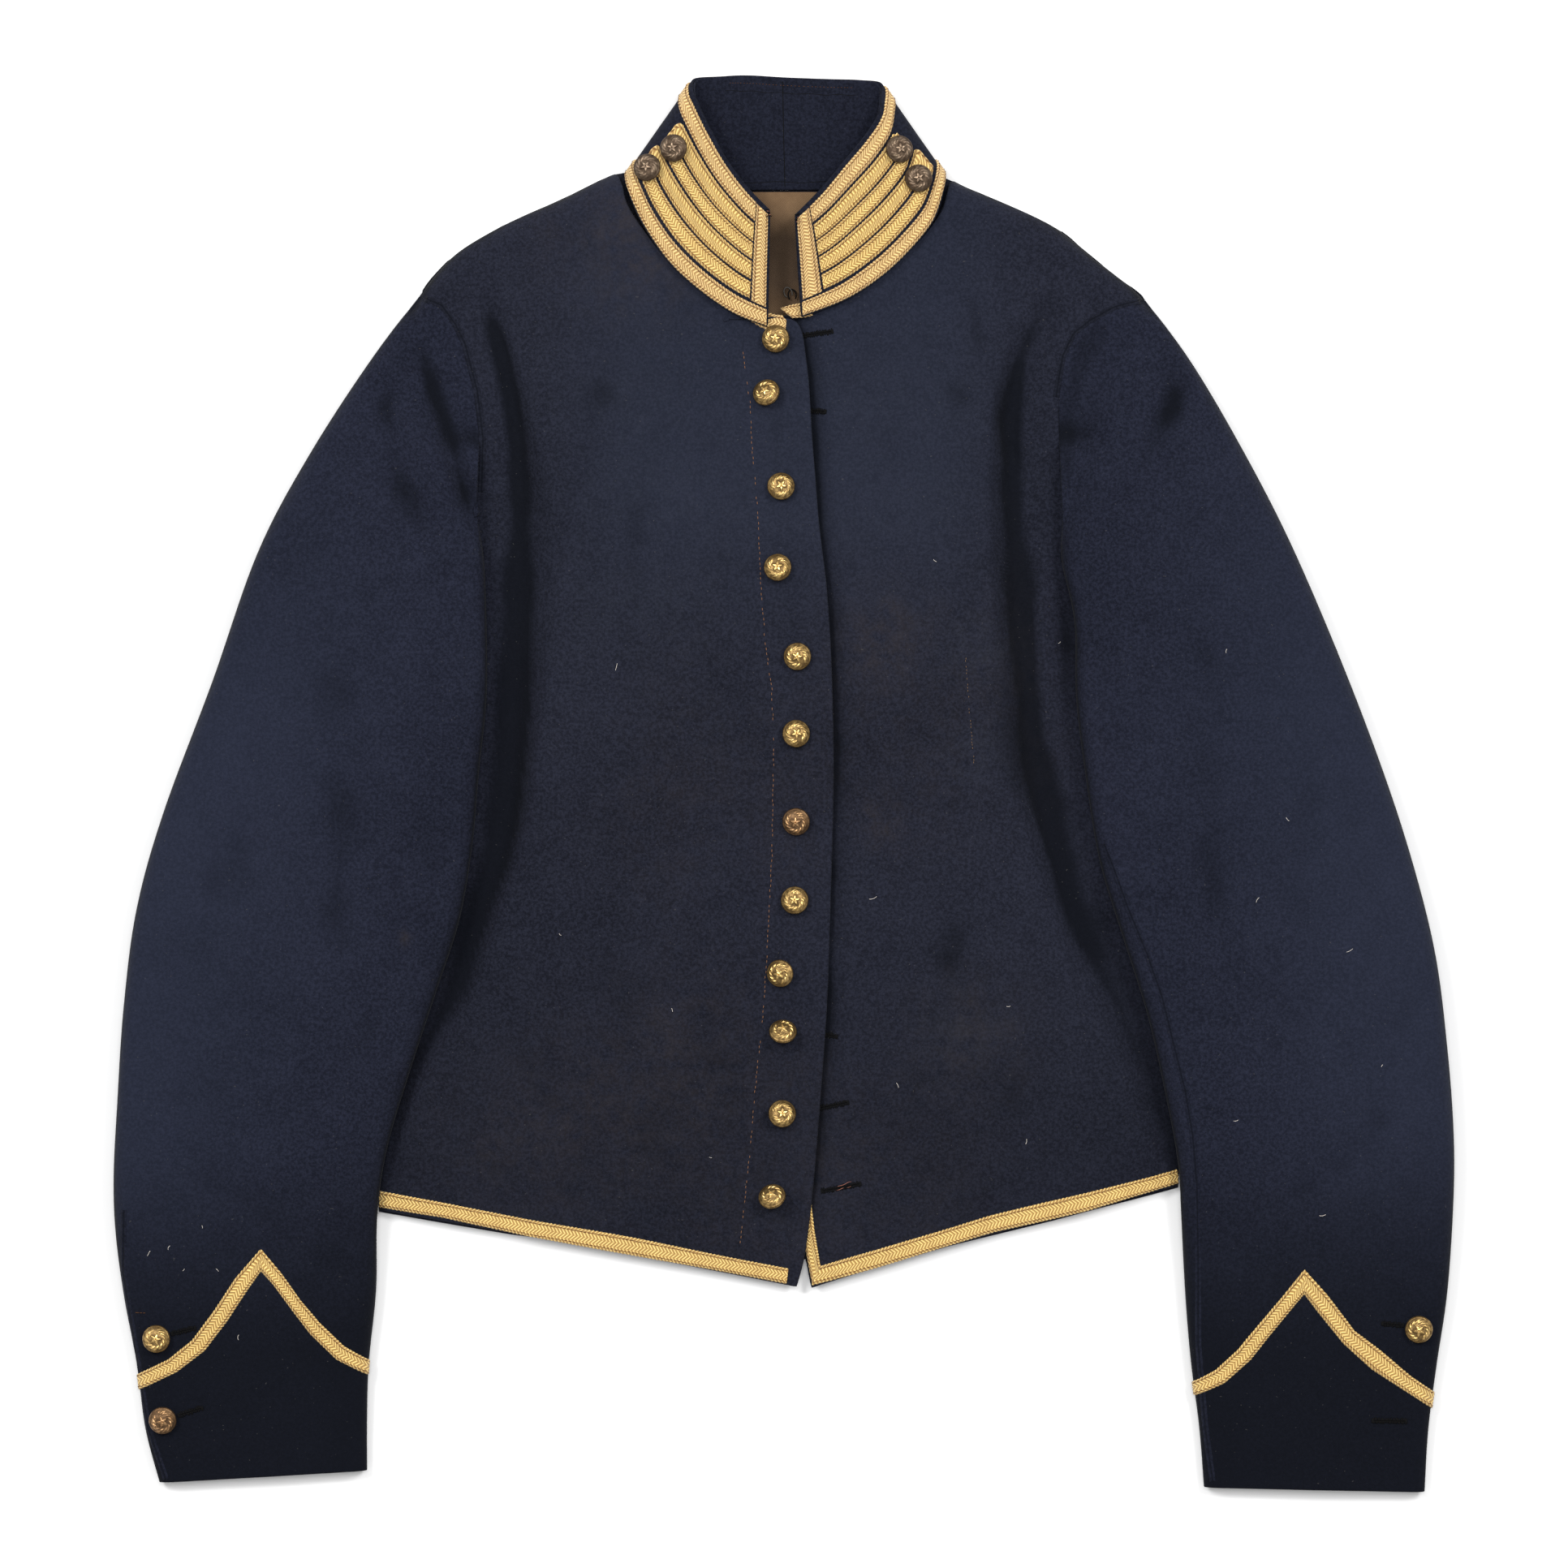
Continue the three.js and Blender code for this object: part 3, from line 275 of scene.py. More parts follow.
# Worked buttonholes on the left front and the sleeves: x and y of one end, then of the other
FRONT_HOLES = (
    (8.5, 239.6, 26, 242), (15, 199.6, 22.4, 199), (22.6, -134.6, 28.6, -135.4),
    (19.6, -173.8, 34.5, -170.6), (20.6, -218.4, 41, -214.4),
)
CUFF_HOLES = {
    "right": ((-327.5, -294.4, -315, -291.4), (-324, -338.4, -311.5, -334.4)),
    "left": ((331.5, -290, 320.5, -289), (333.5, -341.5, 315.5, -341.2)),
}

# Line of stitches that holds the right front's facing
FACING_LINE = line_of(
    (-22, 236), (-20.2, 217.6), (-18, 203.7), (-16.7, 176.3), (-15, 159.3), (-13.7, 141.5), (-12, 104.1),
    (-9.8, 75), (-6.3, 50.2), (-5.2, 20), (-6.3, -38.9), (-8.5, -84.6), (-10.7, -119.4), (-15.4, -165.9),
    (-18.5, -201.1), (-21.5, -227.6), (-23.7, -249.8),
)

# Folds that the cloth lies in: depth and half width in millimetres, then points along the fold
CREASES = (
    (-1.6, 4.5, (116.7, 203), (119, 188), (123.3, 172)), (1.1, 5.5, (108, 206), (111, 186), (116, 166)),
    (2.2, 7, (140, 146), (142.5, 120), (142, 84), (141, 24)), (-1.2, 6, (150, 104), (150.5, 60), (152, 12)),
    (-2.6, 10, (126, 236), (119, 200), (116, 150), (118, 60), (124, 10), (134, -40)),
    (-2.2, 12, (-150, 226), (-142, 180), (-139, 110), (-143, 20), (-150, -40), (-170, -100)),
    (-1.8, 11, (-162, 262), (-152, 232), (-146, 196)), (1.1, 12, (-128, 244), (-124, 200), (-119, 150)),
    (-1.2, 13, (-112, 250), (-100, 220), (-90, 190)), (-1.2, 14, (104, 244), (96, 214), (88, 180)),
    (-1.0, 10, (-70, 190), (-82, 120), (-84, 40)), (0.8, 14, (-48, 205), (-55, 120), (-52, 20), (-58, -60)),
    (-0.8, 11, (-100, -60), (-92, -120), (-74, -160)), (0.7, 12, (-40, -90), (-60, -140), (-70, -180)),
    (-1.0, 9, (96, -60), (84, -110), (86, -150)), (0.9, 11, (116, -70), (108, -120), (112, -160)),
    (-0.7, 8, (140, -110), (128, -150), (120, -190)), (0.8, 12, (62, 150), (70, 90), (64, 30)),
    (-0.7, 10, (88, 120), (92, 60), (86, 10)), (-1.2, 7, (-120, 262), (-128, 230), (-138, 190)),
    (0.9, 8, (-104, 268), (-112, 236), (-124, 200)), (-1.1, 6, (98, 270), (104, 240), (112, 212)),
    (0.8, 8, (70, 262), (84, 238), (96, 208)), (-0.5, 6, (-60, 262), (-44, 236), (-30, 214)),
    (0.5, 7, (44, 246), (40, 222), (44, 190)), (-0.6, 7, (-150, -140), (-120, -176), (-96, -212)),
    (0.6, 8, (-176, -160), (-150, -190), (-130, -220)),
)
SLEEVE_CREASES = {
    "right": (
        (-5.5, 5.5, (-196, 240), (-186, 210), (-178, 186), (-170, 160), (-165.5, 142)),
        (2.2, 5, (-203, 234), (-193, 206), (-185, 182), (-177, 158), (-171, 140)),
        (2.6, 9, (-208, 232), (-197, 192), (-184, 152), (-176, 118)),
        (-2.4, 10, (-214, 222), (-208, 185), (-200, 142)),
        (-1.4, 13, (-249, 120), (-240, 60), (-237, -30), (-234, -119)),
        (1.3, 14, (-277, 96), (-268, 20), (-268, -60), (-262, -140)),
        (-1.0, 10, (-300, -20), (-312, -90), (-310, -150)), (1.0, 12, (-216, 60), (-206, 0), (-206, -60)),
        (-0.9, 8, (-196, -40), (-214, -100), (-226, -150)),
        (-0.8, 9, (-330, -180), (-300, -214), (-262, -232)),
        (0.7, 9, (-320, -226), (-290, -244), (-256, -256)), (-0.8, 8, (-226, 12), (-200, 18), (-178, 14)),
    ),
    "left": (
        (-4.6, 7, (176, 254), (160, 228), (151, 196), (149, 150)),
        (2.4, 9, (194, 246), (177, 216), (168, 178), (165, 130)),
        (-3.2, 9, (214, 236), (207, 200), (186, 160)), (1.2, 8, (226, 214), (222, 180), (200, 140)),
        (-1.4, 13, (228, 90), (226, 30), (228, -40), (238, -120)),
        (1.3, 14, (252, 100), (252, 30), (256, -50), (262, -120)),
        (-1.0, 10, (300, 30), (310, -40), (306, -120)), (1.0, 12, (204, 50), (206, -20), (216, -70)),
        (-0.9, 9, (326, -170), (296, -206), (262, -226)), (0.7, 9, (318, -214), (288, -238), (258, -252)),
        (-0.8, 8, (216, 16), (192, 24), (174, 20)),
    ),
}

# Worn and soiled places on the cloth: centre, reach and strength
BROWN_PATCHES = table(
    "x y reach strength",
    (-70, 287, 26, 0.8), (-96, 300, 34, 0.45), (54, 76, 20, 0.75), (-40, -10, 60, 0.3), (52, -20, 13, 0.65),
    (-52, -142, 34, 0.5), (-104, -176, 44, 0.4), (104, -132, 26, 0.45), (84, 40, 60, 0.25),
    (-20, -216, 60, 0.3), (-202, -83, 3.2, 1.0), (-150, -196, 40, 0.3), (60, -200, 60, 0.25),
)
PALE_PATCHES = table(
    "x y reach strength",
    (103, 72, 16, 0.5), (106, 18, 15, 0.5), (-64, 120, 70, 0.3), (96, -132, 22, 0.4), (-90, 232, 60, 0.2),
    (70, 180, 60, 0.25),
)


# Interpolation
def lerp(a, b, t):
    return a + (b - a) * t


def smooth(x, low, high):
    t = np.clip((x - low) / (high - low), 0, 1)
    return t * t * (3 - 2 * t)


def quarter(share):
    """Height of a quarter circle, 0 to 1, at a share of its width."""
    return np.sqrt(np.maximum(0, 1 - (1 - np.clip(share, 0, 1)) ** 2))


def hermite(p1, p2, m1, m2, t):
    a = 2 * (p1 - p2) + m1 + m2
    b = 3 * (p2 - p1) - 2 * m1 - m2
    return ((a * t + b) * t + m1) * t + p1


def between(rows, position):
    """The row at places between a table's rows, on smooth curves through them."""
    last = len(next(iter(rows.values()))) - 1
    i = np.clip(np.floor(position).astype(int), 0, last - 1)
    t = np.clip(position - i, 0, 1)
    before = np.maximum(i - 1, 0)
    after = np.minimum(i + 2, last)
    return {
        name: hermite(c[i], c[i + 1], (c[i + 1] - c[before]) / 2, (c[after] - c[i]) / 2, t)
        for name, c in rows.items()
    }


def at(rows, key, value, name):
    """One column at values of another, smooth between rows and held beyond the ends."""
    order = np.argsort(rows[key])
    knots = rows[key][order]
    column = rows[name][order]
    slopes = np.gradient(column, knots)
    value = np.clip(value, knots[0], knots[-1])
    i = np.clip(np.searchsorted(knots, value) - 1, 0, len(knots) - 2)
    span = knots[i + 1] - knots[i]
    t = (value - knots[i]) / span
    return hermite(column[i], column[i + 1], slopes[i] * span, slopes[i + 1] * span, t)


def lengths_along(x, y):
    return np.concatenate([[0], np.cumsum(np.hypot(np.diff(x), np.diff(y)))])


def along_line(line, share):
    """Points a share of the way along a line."""
    run = lengths_along(line["x"], line["y"])
    place = np.asarray(share) * run[-1]
    return np.interp(place, run, line["x"]), np.interp(place, run, line["y"])


def path_lengths(points):
    """Distance along a path of points, at each of them."""
    return np.concatenate([[0], np.cumsum(np.linalg.norm(np.diff(points, axis=0), axis=1))])


def line_distance(x, y, points):
    """Distance to a line of points, and the share of the way along it."""
    nearest = np.full(np.shape(x), 1e9)
    share = np.zeros(np.shape(x))
    count = len(points) - 1
    for i in range(count):
        ax, ay = points[i]
        dx = points[i + 1][0] - ax
        dy = points[i + 1][1] - ay
        t = np.clip(((x - ax) * dx + (y - ay) * dy) / (dx * dx + dy * dy), 0, 1)
        d = np.hypot(x - ax - t * dx, y - ay - t * dy)
        closer = d < nearest
        nearest = np.where(closer, d, nearest)
        share = np.where(closer, (i + t) / count, share)
    return nearest, share


NOISE_WAVES = 9


def soft_noise(x, y, size, seed):
    """Smooth unevenness of about one, from waves of one size in many directions."""
    rng = np.random.default_rng(seed)
    total = 0
    for _ in range(NOISE_WAVES):
        angle = rng.uniform(0, math.tau)
        k = math.tau / (size * rng.uniform(0.6, 1.6))
        total = total + np.sin(k * (x * math.cos(angle) + y * math.sin(angle)) + rng.uniform(0, math.tau))
    return total / math.sqrt(NOISE_WAVES / 2)


def crease_height(x, y, creases):
    """Soft troughs and ridges along listed lines, uneven and fading out at their ends."""
    z = np.zeros(np.shape(x))
    for number, (depth, width, *points) in enumerate(creases):
        distance, share = line_distance(x, y, points)
        fade = smooth(share, 0, 0.25) * smooth(1 - share, 0, 0.25)
        uneven = 1 + 0.3 * np.sin(share * 9 + number * 1.7)
        z += depth * uneven * (0.25 + 0.75 * fade) * np.exp(-((distance / width) ** 2))
    return z


# Body
def shoulder_round(hand, x, y):
    rows = SHOULDER[hand]
    step = 2.0
    here = at(rows, "x", x, "y")
    slope = (at(rows, "x", x + step, "y") - at(rows, "x", x - step, "y")) / (2 * step)
    return quarter((here - y) / np.hypot(1, slope) / SHOULDER_ROLL)


def half_body(hand, x, y):
    edge = np.abs(at(OUTLINE[hand], "y", y, "x"))
    out = np.abs(x)
    trough, trough_z, shelf, shelf_z, edge_z = (
        at(BODY[hand], "y", y, name) for name in ("trough", "trough_z", "shelf", "shelf_z", "edge_z")
    )
    side = lerp(trough_z, edge_z, np.clip((out - trough) / np.maximum(edge - trough, 1), 0, 1))
    slope = lerp(trough_z, shelf_z, smooth(trough - out, 0, trough - shelf))
    chest = lerp(at(CENTRE, "y", y, "z"), shelf_z, (out / shelf) ** 2)
    z = np.where(out > trough, side, np.where(out > shelf, slope, chest))
    inner = smooth(edge - out, 4, 26) * smooth(y, -262, -225)
    uneven = 0.35 * soft_noise(x, y, 62, 11) + 0.12 * soft_noise(x, y, 21, 12)
    z = z + inner * (crease_height(x, y, CREASES) + uneven)
    rim = FRONT_REST + FRONT_RIM
    return rim + (z - rim) * shoulder_round(hand, x, y)


def body_height(x, y):
    return np.where(x < 0, half_body("right", x, y), half_body("left", x, y))


def lap_distance(x, y):
    return at(LAP_EDGE, "y", y, "x") - x


def right_front_height(x, y):
    lift = at(LAP_EDGE, "y", y, "lift") * smooth(20 - lap_distance(x, y), 0, 20)
    return body_height(x, y) + lift


def left_front_height(x, y):
    under = smooth(lap_distance(x, y) + LAP_WIDTH, 0, LAP_WIDTH)
    return body_height(x, y) - LAP_DROP * under


FRONT_HEIGHT = {"right": right_front_height, "left": left_front_height}


# Sleeves
def cover_height(hand, x, y):
    """Height of what a sleeve's under layer lies on: the front, or the table."""
    corner_x, corner_y = SIDE[hand]["x"][-1], SIDE[hand]["y"][-1]
    edges = list(zip(OUTLINE[hand]["x"], OUTLINE[hand]["y"])) + [(0, corner_y - HEM_DROP)]
    distance, _ = line_distance(x, y, edges)
    edge = np.abs(at(OUTLINE[hand], "y", y, "x"))
    inside = (np.abs(x) < edge) & (y > corner_y)
    ramp = 1 - smooth(np.where(inside, 0, distance), COVER_HOLD, COVER_HOLD + COVER_RAMP)
    lifted = 1 - smooth(y, SLEEVE_LIFT_Y, SLEEVE_TOP_Y)
    flat_x = np.sign(corner_x) * np.minimum(np.abs(x), edge)
    return (body_height(flat_x, np.maximum(y, corner_y)) + SLEEVE_CLEAR) * ramp * lifted


SEAM_SHIFT = {"right": (-0.6, -0.4), "left": (0.6, -0.6)}


def across_roll(share, width, roll):
    """Grid share to distance across, with the first and last shares round an edge."""
    r = np.minimum(roll, width / 3)
    turn = np.clip(np.minimum(share, 1 - share) / ROLL_SHARE, 0, 1)
    near = r * (1 - np.cos(turn * math.pi / 2))
    middle = r + (share - ROLL_SHARE) / (1 - 2 * ROLL_SHARE) * (width - 2 * r)
    rolled = np.where(share < 0.5, near, width - near)
    return np.where((share < ROLL_SHARE) | (share > 1 - ROLL_SHARE), rolled, middle)


def sleeve_point(hand, layer, u, share_across):
    """Point of a sleeve's top (1) or under (-1) layer, u in stations from the armhole."""
    row = between(SLEEVE[hand], u)
    width = np.hypot(row["in_x"] - row["out_x"], row["in_y"] - row["out_y"])
    distance = across_roll(share_across, width, SLEEVE_ROLL)
    share = distance / width
    x = lerp(row["out_x"], row["in_x"], share)
    y = lerp(row["out_y"], row["in_y"], share)
    curl = np.clip(1 - u / SEAM_STATIONS, 0, 1) ** 2
    seam_x, seam_y = along_line(ARMHOLE[hand], share)
    first = {name: column[0] for name, column in SLEEVE[hand].items()}
    shift_x, shift_y = SEAM_SHIFT[hand]
    x = x + curl * (seam_x + shift_x - lerp(first["out_x"], first["in_x"], share))
    y = y + curl * (seam_y + shift_y - lerp(first["out_y"], first["in_y"], share))
    low = cover_height(hand, x, y)
    joined = np.maximum(body_height(x, y), low + 2 * CLOTH + SLEEVE_LOFT)
    full = row["top"] * (0.92 + 0.08 * np.sin(math.pi * share))
    if layer > 0:
        inner = smooth(np.minimum(distance, width - distance), 1, 12) * smooth(u, 0.25, 1.0)
        fall = 1 - 0.7 * smooth(u, 10.5, 14)
        uneven = 0.55 * soft_noise(x, y, 70, 21) + 0.15 * soft_noise(x, y, 24, 22)
        full = full + inner * fall * (crease_height(x, y, SLEEVE_CREASES[hand]) + uneven)
    high = lerp(joined, full, smooth(u, 0.2, 1.3))
    roll = np.minimum(SLEEVE_ROLL, width / 3)
    round_share = quarter(np.minimum(distance, width - distance) / roll)
    half = (high - low) / 2 - SEAM / 2
    z = (low + high) / 2 + layer * (SEAM / 2 + half * round_share)
    return np.stack([x, y, z], -1)


def sleeve_spot(hand, x, y):
    """Station and grid share of a sleeve under points of the plan."""
    low = np.full(np.shape(x), float(SEAM_STATIONS))
    high = np.full(np.shape(x), float(LAST_STATION))
    for _ in range(30):
        u = (low + high) / 2
        row = between(SLEEVE[hand], u)
        turn = (row["in_x"] - row["out_x"]) * (y - row["out_y"])
        turn = turn - (row["in_y"] - row["out_y"]) * (x - row["out_x"])
        before = (turn < 0) == (hand == "right")
        low = np.where(before, u, low)
        high = np.where(before, high, u)
    row = between(SLEEVE[hand], low)
    dx = row["in_x"] - row["out_x"]
    dy = row["in_y"] - row["out_y"]
    width = np.hypot(dx, dy)
    s = np.clip(((x - row["out_x"]) * dx + (y - row["out_y"]) * dy) / width, 0, width)
    roll = np.minimum(SLEEVE_ROLL, width / 3)
    flat = ROLL_SHARE + (s - roll) / (width - 2 * roll) * (1 - 2 * ROLL_SHARE)
    near = np.minimum(s, width - s)
    edge = ROLL_SHARE * np.arccos(np.clip(1 - near / roll, -1, 1)) * 2 / math.pi
    rolled = np.where(s < width / 2, edge, 1 - edge)
    return low, np.where(near < roll, rolled, flat)


# Collar
def collar_point(around, up):
    row = between(COLLAR, around)
    point = [lerp(row["neck_" + c], row["top_" + c], up) for c in "xyz"]
    wave = 0.45 * np.sin(up * math.pi) * soft_noise(around * 14, up * 20, 34, 31)
    point[2] = point[2] + wave * smooth(point[2], 6, 16)
    return np.stack(point, -1)


# Raised points: a place moved out from a surface
def raised(point, u, v, offset, facing, step_u, step_v, limits):
    """Points of a surface moved out by an offset along its outer normal."""
    low_u, high_u, low_v, high_v = limits
    along_u = point(np.minimum(u + step_u, high_u), v) - point(np.maximum(u - step_u, low_u), v)
    along_v = point(u, np.minimum(v + step_v, high_v)) - point(u, np.maximum(v - step_v, low_v))
    normal = np.cross(along_u, along_v)
    normal = normal / np.linalg.norm(normal, axis=-1, keepdims=True) * facing
    return point(u, v) + normal * np.asarray(offset)[..., None]


def on_collar(around, up, offset):
    """Points off the outside of the collar, or off its facing where the offset is negative."""
    return raised(collar_point, around, up, offset, -1, 0.04, 0.02, (0, COLLAR_END, 0, 1))


def on_front(hand, x, y, offset):
    height = FRONT_HEIGHT[hand]
    step = 0.5
    slope_x = (height(x + step, y) - height(x - step, y)) / (2 * step)
    slope_y = (height(x, y + step) - height(x, y - step)) / (2 * step)
    normal = np.stack([-slope_x, -slope_y, np.ones(np.shape(x))], -1)
    normal = normal / np.linalg.norm(normal, axis=-1, keepdims=True)
    return np.stack([x, y, height(x, y)], -1) + normal * np.asarray(offset)[..., None]


def on_sleeve(hand, x, y, offset):
    u, share = sleeve_spot(hand, x, y)
    facing = 1 if hand == "right" else -1

    def point(a, b):
        return sleeve_point(hand, 1, a, b)

    return raised(point, u, share, offset, facing, 0.03, 0.002, (0, LAST_STATION, 0, 1))


# Meshes
def linked(name, data):
    """An object in the scene. Its name stands without spaces."""
    obj = bpy.data.objects.new(name.replace(" ", "_"), data)
    bpy.context.scene.collection.objects.link(obj)
    return obj


def point_shade(mesh, key, values):
    attribute = mesh.attributes.new(key, "FLOAT", "POINT")
    attribute.data.foreach_set("value", values.astype(np.float32).ravel())


def mesh_object(name, points, quads, uv, shades):
    """Mesh object from points in millimetres and faces of four corners, turned to face out."""
    points = points.reshape(-1, 3)
    a, b, c, d = (points[quads[:, k]] for k in range(4))
    volume = np.einsum("ij,ij->i", a, np.cross(b, c) + np.cross(c, d)).sum()
    if volume < 0:
        quads = quads[:, ::-1]
    mesh = bpy.data.meshes.new(name)
    mesh.vertices.add(len(points))
    mesh.vertices.foreach_set("co", (points * MM).astype(np.float32).ravel())
    mesh.loops.add(quads.size)
    mesh.loops.foreach_set("vertex_index", quads.astype(np.int32).ravel())
    mesh.polygons.add(len(quads))
    mesh.polygons.foreach_set("loop_start", np.arange(0, quads.size, 4, dtype=np.int32))
    mesh.update(calc_edges=True)
    mesh.polygons.foreach_set("use_smooth", np.ones(len(quads), bool))
    if uv is not None:
        layer = mesh.uv_layers.new(name="cloth")
        layer.data.foreach_set("uv", uv.reshape(-1, 2)[quads.ravel()].astype(np.float32).ravel())
    for key, values in shades.items():
        point_shade(mesh, key, values)
    mesh.validate()
    return linked(name, mesh)


def grid_faces(rows, columns):
    i, j = np.meshgrid(np.arange(rows - 1), np.arange(columns - 1), indexing="ij")
    a = (i * columns + j).ravel()
    return np.stack([a, a + columns, a + columns + 1, a + 1], -1)


def border(rows, columns):
    """Places of a grid's border, in order round it."""
    index = np.arange(rows * columns).reshape(rows, columns)
    return np.concatenate([index[0, :-1], index[:-1, -1], index[-1, :0:-1], index[:0:-1, 0]])


def grid_normals(points, facing):
    along = np.gradient(points, axis=0)
    across = np.gradient(points, axis=1)
    normal = np.cross(along, across)
    length = np.linalg.norm(normal, axis=-1, keepdims=True)
    return facing * normal / np.maximum(length, 1e-9)


EDGE_TURNS = 3


def closed_sheet(name, high, low, shades, uv=None, swell=0.45):
    """Closed cloth through two grids of points, with its cut edges rounded over."""
    rows, columns = high.shape[:2]
    count = rows * columns
    top_faces = grid_faces(rows, columns)
    ring = border(rows, columns)
    inset = high.copy()
    inset[0] += high[0] - high[1]
    inset[-1] += high[-1] - high[-2]
    inset[:, 0] += high[:, 0] - high[:, 1]
    inset[:, -1] += high[:, -1] - high[:, -2]
    out = (inset - high).reshape(-1, 3)[ring]
    out = out / np.maximum(np.linalg.norm(out, axis=-1, keepdims=True), 1e-9)
    upper = high.reshape(-1, 3)[ring]
    lower = low.reshape(-1, 3)[ring]
    thick = np.linalg.norm(upper - lower, axis=-1, keepdims=True)
    turns = [math.pi * k / (EDGE_TURNS + 1) for k in range(1, EDGE_TURNS + 1)]
    rims = [
        (upper + lower) / 2 + (upper - lower) / 2 * math.cos(t) + out * thick * swell * math.sin(t)
        for t in turns
    ]
    points = np.concatenate([high.reshape(-1, 3), low.reshape(-1, 3), *rims])
    size = len(ring)
    loops = [ring, *(2 * count + k * size + np.arange(size) for k in range(EDGE_TURNS)), count + ring]
    sides = [
        np.stack([a, b, np.roll(b, -1), np.roll(a, -1)], -1) for a, b in zip(loops[:-1], loops[1:])
    ]
    faces = np.concatenate([top_faces[:, ::-1], top_faces + count, *sides])

    def everywhere(values):
        return np.concatenate([values, values, *([values[ring]] * EDGE_TURNS)])

    full_uv = None if uv is None else everywhere(uv.reshape(-1, 2))
    full_shades = {key: everywhere(v.ravel()) for key, v in shades.items()}
    return mesh_object(name, points, faces, full_uv, full_shades)


TUBE_SIDES = 5


def tubes(name, paths, radius, taper=0.0):
    """One mesh of many short threads. Each path has the same number of points."""
    paths = np.asarray(paths, float)
    count, steps = paths.shape[:2]
    tangent = np.gradient(paths, axis=1)
    tangent /= np.maximum(np.linalg.norm(tangent, axis=-1, keepdims=True), 1e-9)
    helper = np.where(np.abs(tangent[..., 2:]) > 0.9, [[[1.0, 0, 0]]], [[[0, 0, 1.0]]])
    side = np.cross(tangent, helper)
    side /= np.linalg.norm(side, axis=-1, keepdims=True)
    other = np.cross(tangent, side)
    share = np.linspace(0, 1, steps)
    thick = radius * (1 - taper * np.abs(2 * share - 1) ** 3)
    angles = np.arange(TUBE_SIDES) * math.tau / TUBE_SIDES
    ring = (
        paths[:, :, None]
        + side[:, :, None] * np.cos(angles)[:, None] * thick[:, None, None]
        + other[:, :, None] * np.sin(angles)[:, None] * thick[:, None, None]
    )
    past = radius / 2
    tips = np.stack([paths[:, 0] - tangent[:, 0] * past, paths[:, -1] + tangent[:, -1] * past], 1)
    points = np.concatenate([ring.reshape(-1, 3), tips.reshape(-1, 3)])
    mesh = bpy.data.meshes.new(name)
    mesh.from_pydata((points * MM).tolist(), [], tube_walls(count, steps) + tube_ends(count, steps))
    mesh.polygons.foreach_set("use_smooth", np.ones(len(mesh.polygons), bool))
    mesh.update()
    return linked(name, mesh)


def tube_walls(count, steps):
    s, k = np.meshgrid(np.arange(steps - 1), np.arange(TUBE_SIDES), indexing="ij")
    k_next = (k + 1) % TUBE_SIDES
    here, onward = s * TUBE_SIDES, (s + 1) * TUBE_SIDES
    walls = np.stack([here + k, here + k_next, onward + k_next, onward + k], -1).reshape(1, -1, 4)
    first = np.arange(count)[:, None, None] * steps * TUBE_SIDES
    return (first + walls).reshape(-1, 4).tolist()


def tube_ends(count, steps):
    """A fan of triangles on each end of each tube."""
    each = steps * TUBE_SIDES
    tip = np.broadcast_to(count * each + 2 * np.arange(count)[:, None], (count, TUBE_SIDES))
    k = np.arange(TUBE_SIDES)
    k_next = (k + 1) % TUBE_SIDES
    first = np.arange(count)[:, None] * each
    last = first + (steps - 1) * TUBE_SIDES
    starts = np.stack([first + k_next, first + k, tip], -1)
    ends = np.stack([last + k, last + k_next, tip + 1], -1)
    return np.concatenate([starts.reshape(-1, 3), ends.reshape(-1, 3)]).tolist()


# Finishes
def node(tree, kind, **values):
    """A shader node. Values are set on its properties, or on its input sockets by name."""
    made = tree.nodes.new(kind)
    for key, value in values.items():
        if hasattr(made, key):
            setattr(made, key, value)
        else:
            made.inputs[key.replace("_", " ")].default_value = value
    return made


def math_node(tree, operation, a, b=0.0, clamp=False):
    made = tree.nodes.new("ShaderNodeMath")
    made.operation = operation
    made.use_clamp = clamp
    for socket, value in zip(made.inputs, (a, b)):
        if isinstance(value, (int, float)):
            socket.default_value = value
        else:
            tree.links.new(value, socket)
    return made.outputs[0]


def times(tree, a, b, clamp=False):
    return math_node(tree, "MULTIPLY", a, b, clamp)


def plus(tree, a, b, clamp=False):
    return math_node(tree, "ADD", a, b, clamp)


def mix_colour(tree, factor, a, b):
    made = tree.nodes.new("ShaderNodeMix")
    made.data_type = "RGBA"
    for socket, value in zip((made.inputs[0], made.inputs[6], made.inputs[7]), (factor, a, b)):
        if isinstance(value, (int, float, tuple)):
            socket.default_value = value if isinstance(value, (int, float)) else (*value, 1)
        else:
            tree.links.new(value, socket)
    return made.outputs[2]


def ramp(tree, value, low, high):
    """Nought to one as a value goes from low to high."""
    made = tree.nodes.new("ShaderNodeMapRange")
    made.inputs["From Min"].default_value = low
    made.inputs["From Max"].default_value = high
    tree.links.new(value, made.inputs["Value"])
    return made.outputs["Result"]


def noise(tree, vector, scale, detail=2.0, rough=0.5):
    made = node(tree, "ShaderNodeTexNoise", Scale=scale, Detail=detail, Roughness=rough)
    tree.links.new(vector, made.inputs["Vector"])
    return made.outputs["Fac"]


def new_group(name, inputs, outputs):
    """A node group with number inputs, a vector input first, and number outputs."""
    group = bpy.data.node_groups.new(name, "ShaderNodeTree")
    group.interface.new_socket("Place", in_out="INPUT", socket_type="NodeSocketVector")
    for key, value in inputs.items():
        socket = group.interface.new_socket(key, in_out="INPUT", socket_type="NodeSocketFloat")
        socket.default_value = value
    for key in outputs:
        group.interface.new_socket(key, in_out="OUTPUT", socket_type="NodeSocketFloat")
    return group, node(group, "NodeGroupInput").outputs, node(group, "NodeGroupOutput").inputs


